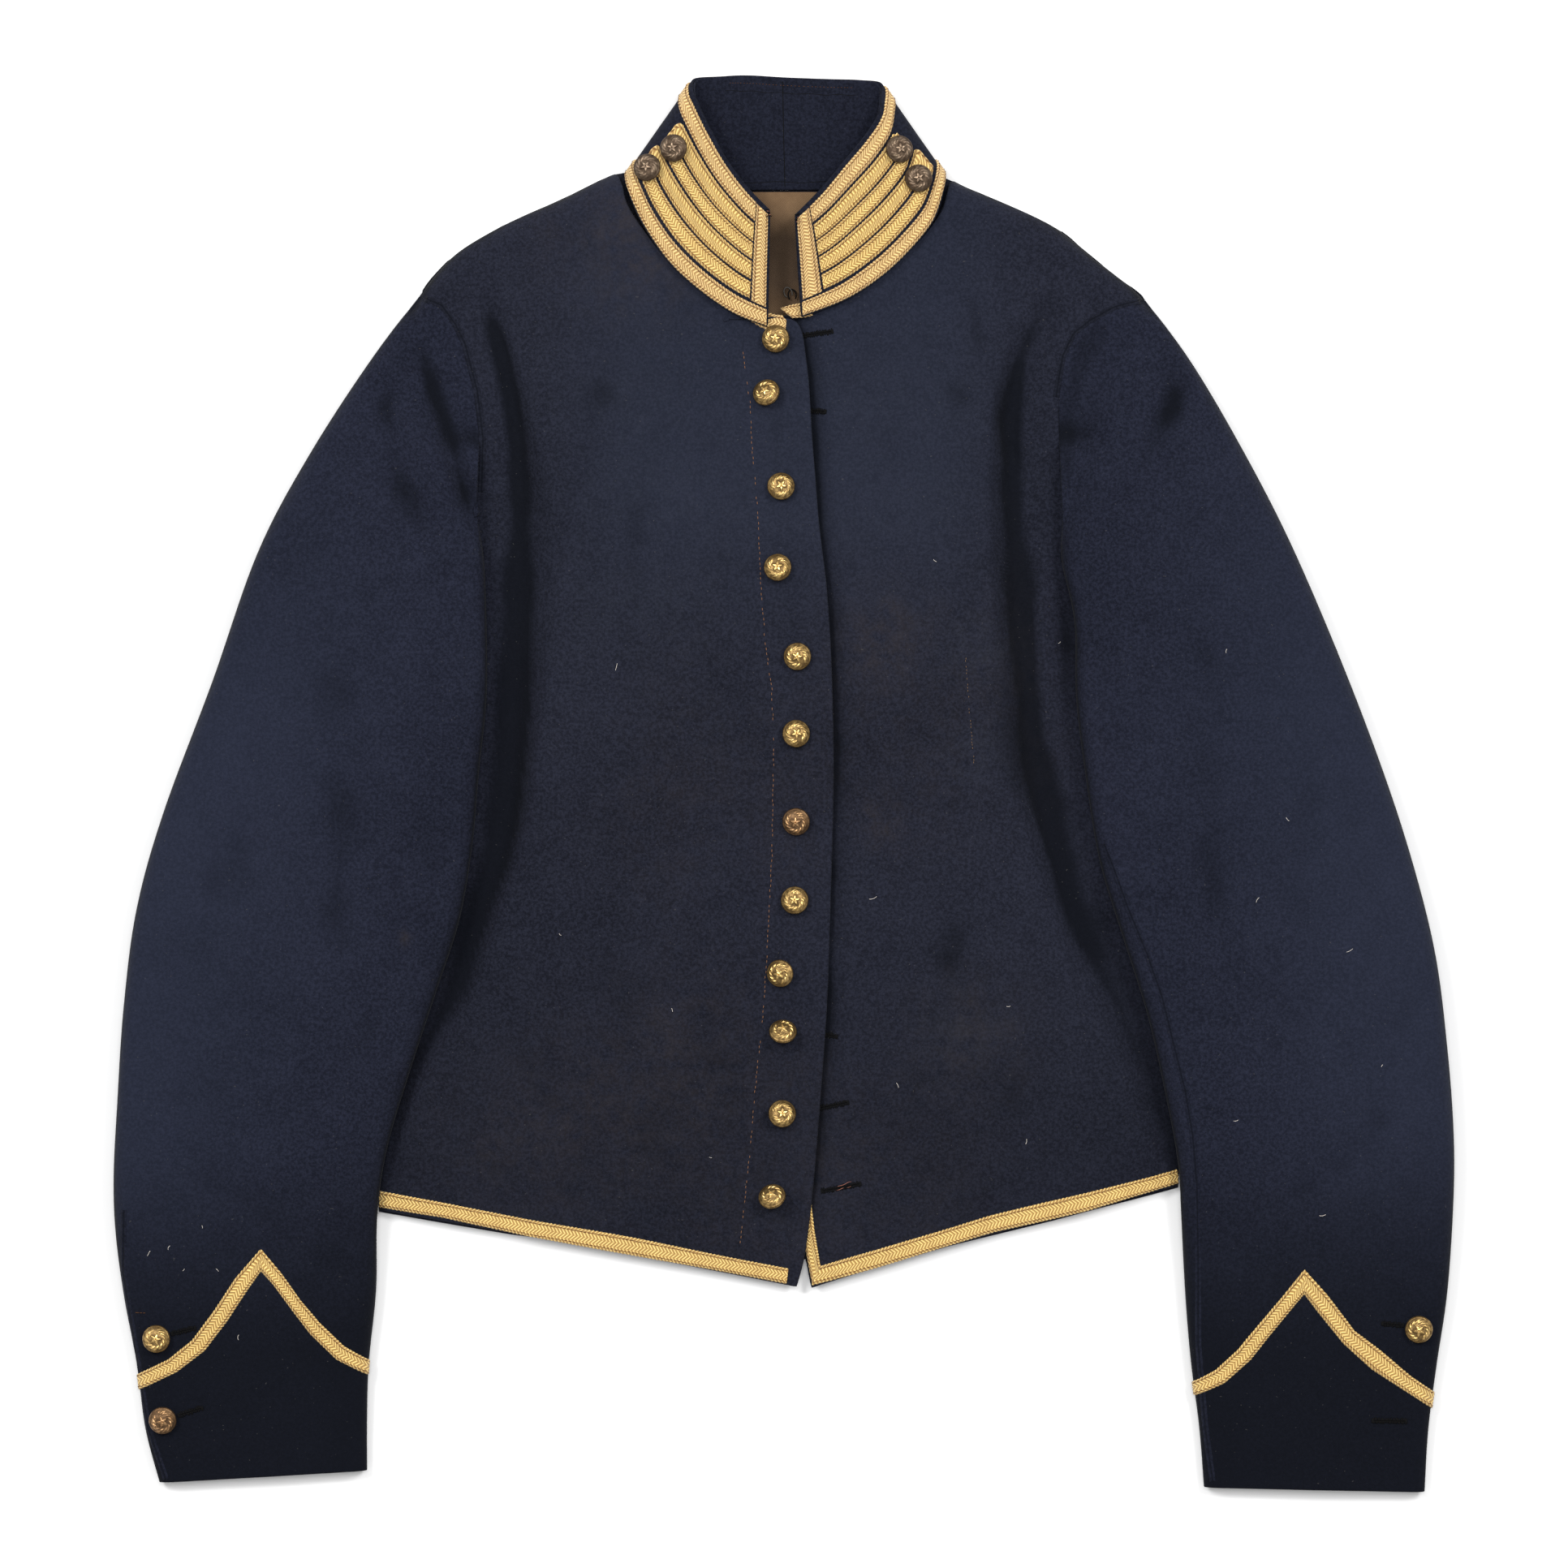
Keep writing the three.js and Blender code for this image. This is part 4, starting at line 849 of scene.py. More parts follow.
def wool_group():
    """Milled wool: a felted nap, slight clouding and stray specks of lint."""
    group, given, out = new_group("milled wool", {"Nap": 1.0}, ("Cloud", "Nap height", "Lint"))
    fine = noise(group, given["Place"], 620, 3, 0.75)
    tuft = noise(group, given["Place"], 420, 2, 0.6)
    patch = noise(group, given["Place"], 62, 3, 0.55)
    broad = noise(group, given["Place"], 9, 3, 0.5)
    cloud = times(group, ramp(group, patch, 0.3, 0.7), 0.16)
    cloud = plus(group, cloud, times(group, ramp(group, broad, 0.35, 0.65), 0.18))
    cloud = plus(group, cloud, times(group, ramp(group, fine, 0.4, 0.62), 0.66))
    group.links.new(cloud, out["Cloud"])
    height = plus(group, times(group, fine, 0.5), times(group, tuft, 0.5))
    group.links.new(times(group, height, given["Nap"]), out["Nap height"])
    speck = ramp(group, noise(group, given["Place"], 900, 0, 0.5), 0.83, 0.87)
    group.links.new(speck, out["Lint"])
    return group


def lace_group():
    """Woven worsted lace: slanting yarns that meet in columns, raised between woven edges."""
    group, given, out = new_group(
        "woven lace", {"Column": 0.0026, "Pitch": 0.0019, "Slant": 1.1}, ("Yarn", "Height", "Soil")
    )
    split = node(group, "ShaderNodeSeparateXYZ")
    group.links.new(given["Place"], split.inputs[0])
    along, across = split.outputs[0], split.outputs[1]
    column = math_node(group, "DIVIDE", across, given["Column"])
    zigzag = math_node(group, "PINGPONG", column, 1.0)
    slant = times(group, zigzag, given["Slant"])
    place = plus(group, math_node(group, "DIVIDE", along, given["Pitch"]), slant)
    wave = math_node(group, "SINE", times(group, place, math.tau))
    yarn = ramp(group, wave, -0.8, 0.8)
    valley = math_node(group, "SUBTRACT", math_node(group, "FRACT", column), 0.5)
    valley = math_node(group, "ABSOLUTE", valley)
    furrow = ramp(group, valley, 0.5, 0.38)
    body = times(group, yarn, plus(group, times(group, furrow, 0.4), 0.6))
    group.links.new(body, out["Yarn"])
    grain = noise(group, given["Place"], 2400, 2, 0.6)
    group.links.new(plus(group, body, times(group, grain, 0.35)), out["Height"])
    soil = noise(group, given["Place"], 130, 3, 0.6)
    group.links.new(ramp(group, soil, 0.42, 0.72), out["Soil"])
    return group


def weave_group():
    """Plain weave of fine cotton."""
    group, given, out = new_group("plain weave", {"Threads": 1500.0}, ("Thread", "Stain"))
    split = node(group, "ShaderNodeSeparateXYZ")
    group.links.new(given["Place"], split.inputs[0])
    turns = [times(group, times(group, split.outputs[k], given["Threads"]), math.pi) for k in (0, 1)]
    warp, weft = (math_node(group, "SINE", turn) for turn in turns)
    group.links.new(times(group, warp, weft), out["Thread"])
    group.links.new(ramp(group, noise(group, given["Place"], 45, 4, 0.6), 0.35, 0.7), out["Stain"])
    return group


GROUPS = {"wool": wool_group(), "lace": lace_group(), "weave": weave_group()}


def start_material(name, group=None, uv=False):
    """A material with its shader, and the group of its weave placed on the object or its cloth map."""
    made = bpy.data.materials.new(name)
    made.use_nodes = True
    tree = made.node_tree
    shader = tree.nodes["Principled BSDF"]
    place = node(tree, "ShaderNodeTexCoord").outputs["UV" if uv else "Object"]
    if group is None:
        return made, tree, shader, place, None
    weave = node(tree, "ShaderNodeGroup", node_tree=GROUPS[group])
    tree.links.new(place, weave.inputs["Place"])
    return made, tree, shader, place, weave.outputs


def add_bump(tree, shader, height, distance, strength=1.0):
    bump = node(tree, "ShaderNodeBump", Distance=distance, Strength=strength)
    tree.links.new(height, bump.inputs["Height"])
    tree.links.new(bump.outputs["Normal"], shader.inputs["Normal"])


def stain_or_painted_light(tree, colour, mask, strength, over):
    """The colour with another laid over it where a mask is high: for stains, and for painted light and
    shade.
    """
    return mix_colour(tree, times(tree, mask, strength), colour, over)


def shade_of(tree, name):
    return node(tree, "ShaderNodeAttribute", attribute_name=name).outputs["Fac"]


def wool_material(name, dark, light):
    made, tree, shader, place, wool = start_material(name, "wool")
    mottle = ramp(tree, noise(tree, place, 150, 4, 0.65), 0.3, 0.75)
    colour = mix_colour(tree, wool["Cloud"], dark, light)
    # Painted light: a lighter, bluer tint on the lit upper chest and outer sleeves
    colour = stain_or_painted_light(tree, colour, shade_of(tree, "painted_light"), 0.4, (0.0195, 0.0245, 0.044))
    # Painted shade: a near-black tint where the cloth lies in troughs, folds and other shaded places
    colour = stain_or_painted_light(tree, colour, shade_of(tree, "deep"), 0.9, (0.0015, 0.0022, 0.0048))
    colour = stain_or_painted_light(tree, colour, times(tree, shade_of(tree, "brown"), mottle), 0.6, (0.03, 0.024, 0.024))
    colour = stain_or_painted_light(tree, colour, times(tree, shade_of(tree, "pale"), mottle), 0.4, (0.03, 0.034, 0.046))
    colour = stain_or_painted_light(tree, colour, wool["Lint"], 0.3, (0.09, 0.085, 0.08))
    tree.links.new(colour, shader.inputs["Base Color"])
    shader.inputs["Roughness"].default_value = 0.92
    shader.inputs["Specular IOR Level"].default_value = 0.12
    shader.inputs["Sheen Weight"].default_value = 0.035
    shader.inputs["Sheen Roughness"].default_value = 0.4
    add_bump(tree, shader, wool["Nap height"], 0.0006, 0.8)
    return made


def lace_material(name, light, dark, brown):
    made, tree, shader, place, lace = start_material(name, "lace", uv=True)
    worn = ramp(tree, noise(tree, place, 700, 3, 0.6), 0.2, 0.6)
    colour = mix_colour(tree, lace["Yarn"], dark, light)
    colour = stain_or_painted_light(tree, colour, lace["Soil"], 0.25, brown)
    colour = stain_or_painted_light(tree, colour, times(tree, shade_of(tree, "edge"), worn), 0.95, brown)
    tree.links.new(colour, shader.inputs["Base Color"])
    shader.inputs["Roughness"].default_value = 0.78
    shader.inputs["Sheen Weight"].default_value = 0.15
    add_bump(tree, shader, lace["Height"], 0.0005, 0.9)
    return made


def lining_material():
    made, tree, shader, _, weave = start_material("tan cotton lining", "weave")
    colour = mix_colour(tree, weave["Stain"], (0.115, 0.062, 0.026), (0.2, 0.118, 0.055))
    thread = times(tree, weave["Thread"], 0.2, clamp=True)
    colour = mix_colour(tree, thread, colour, (0.08, 0.045, 0.02))
    # Painted shade where the neck opening lies in shadow
    colour = stain_or_painted_light(tree, colour, shade_of(tree, "deep"), 0.75, (0.035, 0.02, 0.012))
    tree.links.new(colour, shader.inputs["Base Color"])
    shader.inputs["Roughness"].default_value = 0.88
    add_bump(tree, shader, weave["Thread"], 0.0001, 0.6)
    return made


def thread_material(name, colour, rough=0.8):
    made, tree, shader, place, _ = start_material(name)
    twist = ramp(tree, noise(tree, place, 1800, 2, 0.6), 0.3, 0.7)
    darker = tuple(c * 0.6 for c in colour)
    tree.links.new(mix_colour(tree, twist, darker, colour), shader.inputs["Base Color"])
    shader.inputs["Roughness"].default_value = rough
    shader.inputs["Specular IOR Level"].default_value = 0.15
    return made


def brass_material(name, bright, worn, patina, rough):
    made, tree, shader, place, _ = start_material(name)
    blotch = noise(tree, place, 420, 4, 0.65)
    # Patina in the relief's low places and on the back, painted shade on the dome's rim, and tarnish
    # blotches
    grime_and_shade = plus(tree, shade_of(tree, "patina_and_shade"), ramp(tree, blotch, 0.45, 0.75), clamp=True)
    colour = mix_colour(tree, ramp(tree, noise(tree, place, 170, 3, 0.6), 0.35, 0.65), bright, worn)
    colour = stain_or_painted_light(tree, colour, grime_and_shade, 0.88, patina)
    tree.links.new(colour, shader.inputs["Base Color"])
    shader.inputs["Metallic"].default_value = 0.9
    roughness = plus(tree, times(tree, grime_and_shade, 0.25), rough)
    tree.links.new(roughness, shader.inputs["Roughness"])
    add_bump(tree, shader, blotch, 0.0002, 0.5)
    return made


NAVY = wool_material("navy wool", (0.0036, 0.0042, 0.0085), (0.0165, 0.0185, 0.0315))
NAVY_SLEEVE = wool_material("navy wool of the sleeves", (0.0034, 0.0042, 0.0095), (0.0155, 0.018, 0.0335))
NAVY_COLLAR = wool_material("navy wool of the collar", (0.003, 0.0036, 0.0078), (0.0125, 0.0145, 0.0265))
LACE = lace_material("yellow lace", (0.97, 0.7, 0.25), (0.4, 0.22, 0.05), (0.24, 0.1, 0.025))
PALE_LACE = lace_material("faded yellow lace", (0.93, 0.66, 0.28), (0.38, 0.21, 0.065), (0.24, 0.105, 0.035))
LINING = lining_material()
# Bright metal, worn metal and patina; the patina colour is also laid on the dome's rim as painted shade
BRASS = brass_material(
    "gilt brass", (0.84, 0.57, 0.22), (0.56, 0.36, 0.12), (0.075, 0.042, 0.018), 0.26
)
COPPERY = brass_material(
    "worn coppery brass", (0.52, 0.31, 0.15), (0.33, 0.18, 0.08), (0.06, 0.035, 0.02), 0.3
)
BROWN_BRASS = brass_material(
    "tarnished brass", (0.3, 0.22, 0.15), (0.19, 0.13, 0.09), (0.05, 0.032, 0.02), 0.38
)
BROWN_THREAD = thread_material("brown thread", (0.12, 0.05, 0.018))
TAN_THREAD = thread_material("tan thread", (0.24, 0.15, 0.08))
ROW_THREAD = thread_material("rusty stitching thread", (0.26, 0.13, 0.07))
BLACK_THREAD = thread_material("black silk twist", (0.0022, 0.0021, 0.0026))
RED_THREAD = thread_material("faded red thread", (0.34, 0.14, 0.1))
PALE_THREAD = thread_material("pale thread", (0.85, 0.78, 0.7))
WIRE = thread_material("dull wire", (0.1, 0.09, 0.08), 0.45)
# Near-black, used as painted shade in buttonhole slits and the collar's sunk lines
SHADE_SLIT = thread_material("painted shade in slits and sunk lines", (0.004, 0.004, 0.005), 0.95)


# Scene start
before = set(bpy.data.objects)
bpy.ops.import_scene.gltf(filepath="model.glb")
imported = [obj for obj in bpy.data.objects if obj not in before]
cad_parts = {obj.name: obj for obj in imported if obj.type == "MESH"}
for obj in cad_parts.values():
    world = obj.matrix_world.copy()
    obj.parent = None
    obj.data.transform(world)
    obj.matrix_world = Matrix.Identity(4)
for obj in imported:
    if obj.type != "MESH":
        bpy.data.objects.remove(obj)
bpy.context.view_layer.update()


def finish(obj, material):
    obj.data.materials.append(material)
    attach(obj, "root")
    return obj


def patches(rows, x, y, seed):
    """Strength of soft-edged patches at points of the cloth."""
    total = np.zeros(np.shape(x))
    for cx, cy, reach, strength in zip(rows["x"], rows["y"], rows["reach"], rows["strength"]):
        d = np.hypot(x - cx, (y - cy) * 0.9) / reach
        total += strength * np.exp(-(d**2)) * (1 + 0.25 * soft_noise(x, y, reach * 0.9, seed))
    return np.clip(total, 0, 1)


def box_mean(values, reach, axis):
    """Mean over a window of grid places, shorter at the ends."""
    total = np.cumsum(np.concatenate([np.zeros_like(np.take(values, [0], axis)), values], axis), axis)
    places = np.arange(values.shape[axis])
    low = np.maximum(places - reach, 0)
    high = np.minimum(places + reach + 1, values.shape[axis])
    span = (high - low).reshape([-1 if k == axis else 1 for k in range(values.ndim)])
    return (np.take(total, high, axis) - np.take(total, low, axis)) / span


# Painted shade: the troughs of the creases, darkened in the colour
def folded(x, y, creases):
    """Dark of the troughs among the listed creases."""
    return np.clip((-crease_height(x, y, creases) - 1.3) / 3.2, 0, 0.75)


def hollows(points, reach_mm=16):
    """How far a place lies below the cloth round it, nought to one, used as painted shade in the colour."""
    z = points[..., 2]
    mean = z
    for axis in (0, 1):
        step = np.median(np.linalg.norm(np.diff(points, axis=axis), axis=-1))
        mean = box_mean(mean, max(2, int(reach_mm / max(step, 0.2))), axis)
    return smooth(mean - z, 0.1, 2.4)


def cloth_shades(points, painted_light=None):
    """Marks of the cloth: brown and pale patches of wear and soil, painted shade in its low places, and
    painted light as a bluer, lighter tint.
    """
    x, y = points[..., 0], points[..., 1]
    return {
        "brown": patches(BROWN_PATCHES, x, y, 41),
        "pale": patches(PALE_PATCHES, x, y, 42),
        "deep": hollows(points),
        "painted_light": np.zeros(x.shape) if painted_light is None else painted_light,
    }


def spread(stops):
    """Places from stop to stop with a count of steps between: value, steps, value and so on."""
    parts = [
        np.linspace(start, end, steps, endpoint=False)
        for start, steps, end in zip(stops[:-2:2], stops[1::2], stops[2::2])
    ]
    return np.concatenate([*parts, [stops[-1]]])


# Fineness of the cloth: a place, the steps from it to the next place, that place and so on
FRONT_DOWN = (0, 8, 1, 90, 16, 100, 26)
FRONT_ACROSS = (0, 12, ROLL_SHARE, 88, 0.96, 9, 1)
TOP_SLEEVE_DOWN = (0, 16, 1, 170, LAST_STATION)
UNDER_SLEEVE_DOWN = (0, 10, 1, 70, LAST_STATION)
TOP_SLEEVE_ACROSS = (0, 14, ROLL_SHARE, 72, 1 - ROLL_SHARE, 14, 1)
UNDER_SLEEVE_ACROSS = (0, 14, ROLL_SHARE, 40, 1 - ROLL_SHARE, 14, 1)
BACK_COLUMNS = 91
COLLAR_COLUMNS, COLLAR_ROWS = 230, 24
LINING_ROWS, LINING_COLUMNS = 60, 50
# Thickness of the drawn cloth, as a share of the solids' cloth
FRONT_SHARE = 0.9
SLEEVE_SHARE = 0.85
LINING_THICK = 0.7
# The front's cloth runs this far on under the sleeve at the foot of the armhole
SEAM_ALLOWANCE = 2.2


def front_point(hand, u, w):
    """Point of a front, u in rows from the shoulder and w across from its outer edge."""
    row = between(FRONT[hand], u)
    width = np.hypot(row["in_x"] - row["out_x"], row["in_y"] - row["out_y"])
    r = np.minimum(SHOULDER_ROLL, width / 3)
    near = r * (1 - np.cos(np.clip(w / ROLL_SHARE, 0, 1) * math.pi / 2))
    far = r + (w - ROLL_SHARE) / (1 - ROLL_SHARE) * (width - r)
    share = np.where(w < ROLL_SHARE, near, far) / width
    x = lerp(row["out_x"], row["in_x"], share)
    y = lerp(row["out_y"], row["in_y"], share) + row["bow"] * 4 * share * (1 - share)
    return np.stack([x, y, FRONT_HEIGHT[hand](x, y)], -1)


def front(hand):
    """A front from its shoulder to the hem, laid over the body, with painted shade at folds, towards the hem
    and under the lap, and painted light on the upper chest.
    """
    u, w = np.meshgrid(spread(FRONT_DOWN), spread(FRONT_ACROSS), indexing="ij")
    high = front_point(hand, u, w)
    side = -1 if hand == "right" else 1
    foot_of_armhole = smooth(high[..., 1], 128, 140) * smooth(190 - high[..., 1], 0, 20)
    high[..., 0] += side * SEAM_ALLOWANCE * foot_of_armhole * (1 - smooth(w, 0, 0.07))
    normals = grid_normals(high, -side)
    low = high - normals * CLOTH * FRONT_SHARE
    high[..., 2] = np.maximum(high[..., 2], FRONT_REST + 0.3)
    low[..., 2] = np.maximum(low[..., 2], FRONT_REST - 0.05)
    shades = cloth_shades(high)
    # Painted shade: the creases' troughs, darker towards the hem, and the shadow of the right front's edge
    # across the left front
    fold = folded(high[..., 0], high[..., 1], CREASES)
    low_end = 0.22 * smooth(-high[..., 1], 60, 240)
    beyond = -lap_distance(high[..., 0], high[..., 1])
    shadow = np.exp(-((np.maximum(beyond, 0) / 5.5) ** 1.5)) * (hand == "left")
    shadow = shadow * (0.45 + 0.4 * smooth(high[..., 1], 120, 190) * smooth(248 - high[..., 1], 0, 12))
    shades["deep"] = np.clip(shades["deep"] + 0.9 * fold + low_end + shadow, 0, 1)
    # Painted light on the upper chest, near the middle
    shades["painted_light"] = 0.8 * smooth(high[..., 1], 60, 170) * (1 - smooth(np.abs(high[..., 0]), 70, 140))
    obj = closed_sheet(f"front {hand}", high, low, shades)
    return finish(obj, NAVY)


def back_side(hand):
    """Edge of the back from hem to neck, in three runs: side seam, armhole and shoulder."""
    shoulder = SHOULDER[hand]
    keep = np.abs(shoulder["x"]) < 192
    rise = np.argsort(shoulder["y"][keep])
    end_x, end_y = (BACK_NECK[n][0 if hand == "right" else -1] for n in "xy")
    top = {n: shoulder[n][keep][rise] for n in "xy"}
    below = top["y"] < end_y - 1
    top_x = np.concatenate([[ARMHOLE[hand]["x"][0]], top["x"][below], [end_x]])
    top_y = np.concatenate([[ARMHOLE[hand]["y"][0]], top["y"][below], [end_y]])
    side_x = np.concatenate([ARMHOLE[hand]["x"][-1:], SIDE[hand]["x"]])[::-1]
    side_y = np.concatenate([ARMHOLE[hand]["y"][-1:], SIDE[hand]["y"]])[::-1]
    runs = (
        (side_x, side_y, 60),
        (ARMHOLE[hand]["x"][::-1], ARMHOLE[hand]["y"][::-1], 24),
        (top_x, top_y, 16),
    )
    points = []
    for x, y, steps in runs:
        px, py = along_line({"x": x, "y": y}, np.linspace(0, 1, steps + 1))
        points.append(np.stack([px, py], -1)[:-1])
    points.append(np.array([[end_x, end_y]]))
    return np.concatenate(points)


def back_seams(x, y):
    """Ridges of the two curved seams down the back, as guessed for its hidden side."""
    bow = 62 + 50 * smooth(y, -60, 190) + 30 * smooth(y, 120, 250)
    return np.exp(-(((np.abs(x) - bow) / 1.1) ** 2))


def back():
    """The back, flat on the table, from side seam to side seam."""
    right, left = back_side("right"), back_side("left")
    t = np.linspace(0, 1, BACK_COLUMNS)
    grid = lerp(right[:, None], left[:, None], t[None, :, None])
    rows = len(right)
    down = np.linspace(0, 1, rows)[:, None]
    hem_bow = np.interp(grid[:1, :, 0], BACK_HEM["x"], BACK_HEM["y"]) - grid[:1, :, 1]
    neck_bow = np.interp(grid[-1:, :, 0], BACK_NECK["x"], BACK_NECK["y"]) - grid[-1:, :, 1]
    grid[..., 1] += hem_bow * (1 - smooth(down, 0, 0.45)) + neck_bow * smooth(down, 0.86, 1)
    x, y = grid[..., 0], grid[..., 1]
    low_z = 0.5 + 0.12 * soft_noise(x, y, 60, 51) - 0.3 * back_seams(x, y)
    high = np.concatenate([grid, np.full((*x.shape, 1), BACK_TOP - 0.05)], -1)
    low = np.concatenate([grid, np.maximum(low_z, 0.08)[..., None]], -1)
    obj = closed_sheet("back", high, low, cloth_shades(high))
    return finish(obj, NAVY)


def lining():
    """The strip of lining that shows inside the neck, with painted shade at its middle and towards the
    front.
    """
    u, v = np.meshgrid(np.linspace(0, 1, LINING_ROWS), np.linspace(0, 1, LINING_COLUMNS), indexing="ij")
    x = lerp(lerp(-38, -34, u), lerp(38, 34, u), v)
    y = lerp(317.4, 240, u)
    z = BACK_TOP + 1.15 + 0.3 * soft_noise(x, y, 26, 61) + 0.12 * soft_noise(x, y, 9, 62)
    high = np.stack([x, y, z], -1)
    low = high.copy()
    low[..., 2] = np.maximum(z - LINING_THICK, BACK_TOP + 0.1)
    # Painted shadow inside the neck opening: darkest at the middle and towards the front
    shadow = np.exp(-(((x + 1) / 12) ** 2) - ((y - 281) / 17) ** 2)
    shadow = shadow + 0.5 * smooth(322 - y, 0, 40)
    obj = closed_sheet("neck lining", high, low, {"deep": np.clip(shadow, 0, 1)})
    return finish(obj, LINING)


def sleeve_layer(hand, layer):
    """A sleeve's top (1) or under (-1) layer, with painted shade towards the cuff, on its inner side and
    along its folds, and painted light on its outer side.
    """
    down, across = (
        (TOP_SLEEVE_DOWN, TOP_SLEEVE_ACROSS) if layer > 0 else (UNDER_SLEEVE_DOWN, UNDER_SLEEVE_ACROSS)
    )
    u, w = np.meshgrid(spread(down), spread(across), indexing="ij")
    high = sleeve_point(hand, layer, u, w)
    facing = layer * (1 if hand == "right" else -1)
    low = high - grid_normals(high, facing) * CLOTH * SLEEVE_SHARE
    high[..., 2] = np.maximum(high[..., 2], 0.15)
    low[..., 2] = np.maximum(low[..., 2], 0.3)
    name = f"{'top' if layer > 0 else 'under'} sleeve {hand}"
    # Painted light along the outer side of the sleeve
    outer = smooth(0.75 - w, 0, 0.6) * smooth(LAST_STATION - u, 1, 6) * smooth(u, 1.2, 4.5)
    shades = cloth_shades(high, outer)
    # Painted shade on the inner side, towards the cuff and in the troughs of the folds
    inner_side = 0.2 * smooth(w, 0.65, 1) * smooth(u, 0, 1)
    cuff = 0.95 * smooth(u, 8.4, 12.2)
    fold = folded(high[..., 0], high[..., 1], SLEEVE_CREASES[hand])
    shades["deep"] = np.clip(0.75 * shades["deep"] + inner_side + cuff + 0.55 * fold, 0, 1)
    obj = closed_sheet(name, high, low, shades, swell=0.3)
    return finish(obj, NAVY_SLEEVE)


def collar_ply(name, near, far):
    """One ply of the collar, between two distances from its middle surface."""
    stations, heights = np.linspace(0, COLLAR_END, COLLAR_COLUMNS), np.linspace(0, 1, COLLAR_ROWS)
    around, up = np.meshgrid(stations, heights, indexing="ij")
    high = on_collar(around, up, np.full(around.shape, far))
    low = on_collar(around, up, np.full(around.shape, near))
    obj = closed_sheet(name, high, low, cloth_shades(high))
    return finish(obj, NAVY_COLLAR)


# Lace
LACE_BASE = 0.08
LACE_THICK = 0.85
LACE_CELLS = 14
LACE_STEP = 0.8
COLLAR_LACE_BASE = PLY_GAP + COLLAR_PLY + 0.05
# Stitches along both edges of a lace
STITCH_PITCH = 2.3
STITCH_LENGTH = 1.5
STITCH_ROWS = (0.16, 0.84)
STITCH_SLANT = 0.03
STITCH_RISE = 0.16
STITCH_RADIUS = 0.17
STITCH_STEPS = np.linspace(-0.5, 0.5, 5)
STITCH_LIFT = 0.98
COLLAR_STITCH_LIFT = COLLAR_LACE_BASE + 0.95


def lace_strip(name, place, us, along, material, base):
    """Woven tape over shares across (v) and stations (u), thin at its edges and bedded on the cloth."""
    v = np.linspace(0, 1, LACE_CELLS + 1)
    scallop = 0.022 * np.sin(along / 2.3 * math.tau) + 0.02 * np.sin(along / 17)
    u_grid, v_grid = np.meshgrid(us, v, indexing="ij")
    edge_pull = (v_grid - 0.5) * 2 * scallop[:, None]
    v_grid = v_grid + edge_pull * np.abs(v_grid - 0.5) * 2
    across = np.broadcast_to(v, v_grid.shape)
    edge = np.minimum(across, 1 - across)
    swell = quarter(edge / 0.12)
    selvedge = 0.16 * np.exp(-(((edge - 0.1) / 0.05) ** 2))
    profile = LACE_BASE + LACE_THICK * swell + selvedge
    high = place(u_grid, v_grid, base + profile)
    low = place(u_grid, v_grid, np.full(v_grid.shape, base + 0.02))
    uv = np.stack([np.broadcast_to(along[:, None], v_grid.shape), across * LACE_WIDTH], -1) * MM
    shades = {"edge": np.exp(-(((edge - 0.13) / 0.045) ** 2))}
    obj = closed_sheet(name, high, low, shades, uv, swell=0.1)
    return finish(obj, material)


def even_stations(run, stations, spacing):
    """Stations at an even spacing along a run of lengths, and the distance along at each."""
    along = np.linspace(0, run[-1], int(run[-1] / spacing) + 2)
    return np.interp(along, run, stations), along


def strip_rows(rows, spacing):
    """Stations along a lace table at an even spacing, and the distance along at each."""
    mid_x = (rows["up_x"] + rows["down_x"]) / 2
    mid_y = (rows["up_y"] + rows["down_y"]) / 2
    run = lengths_along(mid_x, mid_y)
    return even_stations(run, np.arange(len(run)), spacing)


def strip_place(rows, on_surface):
    """Places on a lace table: straight from row to row, so that its corners stay mitred."""
    index = np.arange(len(rows["up_x"]))

    def place(u, v, offset):
        x = lerp(np.interp(u, index, rows["down_x"]), np.interp(u, index, rows["up_x"]), v)
        y = lerp(np.interp(u, index, rows["down_y"]), np.interp(u, index, rows["up_y"]), v)
        return on_surface(x, y, offset)

    return place


def edge_stitches(name, place, us, along, lift, seed):
    """Small stitches along both edges of a lace."""
    rng = np.random.default_rng(seed)
    count = int(along[-1] / STITCH_PITCH)
    starts = (np.arange(count) + 0.5) * STITCH_PITCH + rng.uniform(-0.2, 0.2, count)
    s = starts[:, None] + STITCH_STEPS * STITCH_LENGTH
    u = np.interp(s, along, us)
    offset = np.broadcast_to(lift + STITCH_RISE * np.cos(STITCH_STEPS * math.pi), s.shape)
    sides = [v + rng.uniform(-0.02, 0.02, (count, 1)) + STITCH_STEPS * STITCH_SLANT for v in STITCH_ROWS]
    paths = [place(u, side, offset) for side in sides]
    return finish(tubes(name, np.concatenate(paths), STITCH_RADIUS), BROWN_THREAD)


def sewn_lace(name, place, us, along, material, seed, base=0.0, lift=STITCH_LIFT):
    """A lace and the stitches that hold it."""
    strip = lace_strip(name, place, us, along, material, base)
    return [strip, edge_stitches(f"{name} stitches", place, us, along, lift, seed)]


def laid_lace(name, rows, on_surface, material, seed, spacing=LACE_STEP):
    us, along = strip_rows(rows, spacing)
    return sewn_lace(name, strip_place(rows, on_surface), us, along, material, seed)


def collar_sewn(name, place, us, along, material, seed):
    return sewn_lace(name, place, us, along, material, seed, COLLAR_LACE_BASE, COLLAR_STITCH_LIFT)


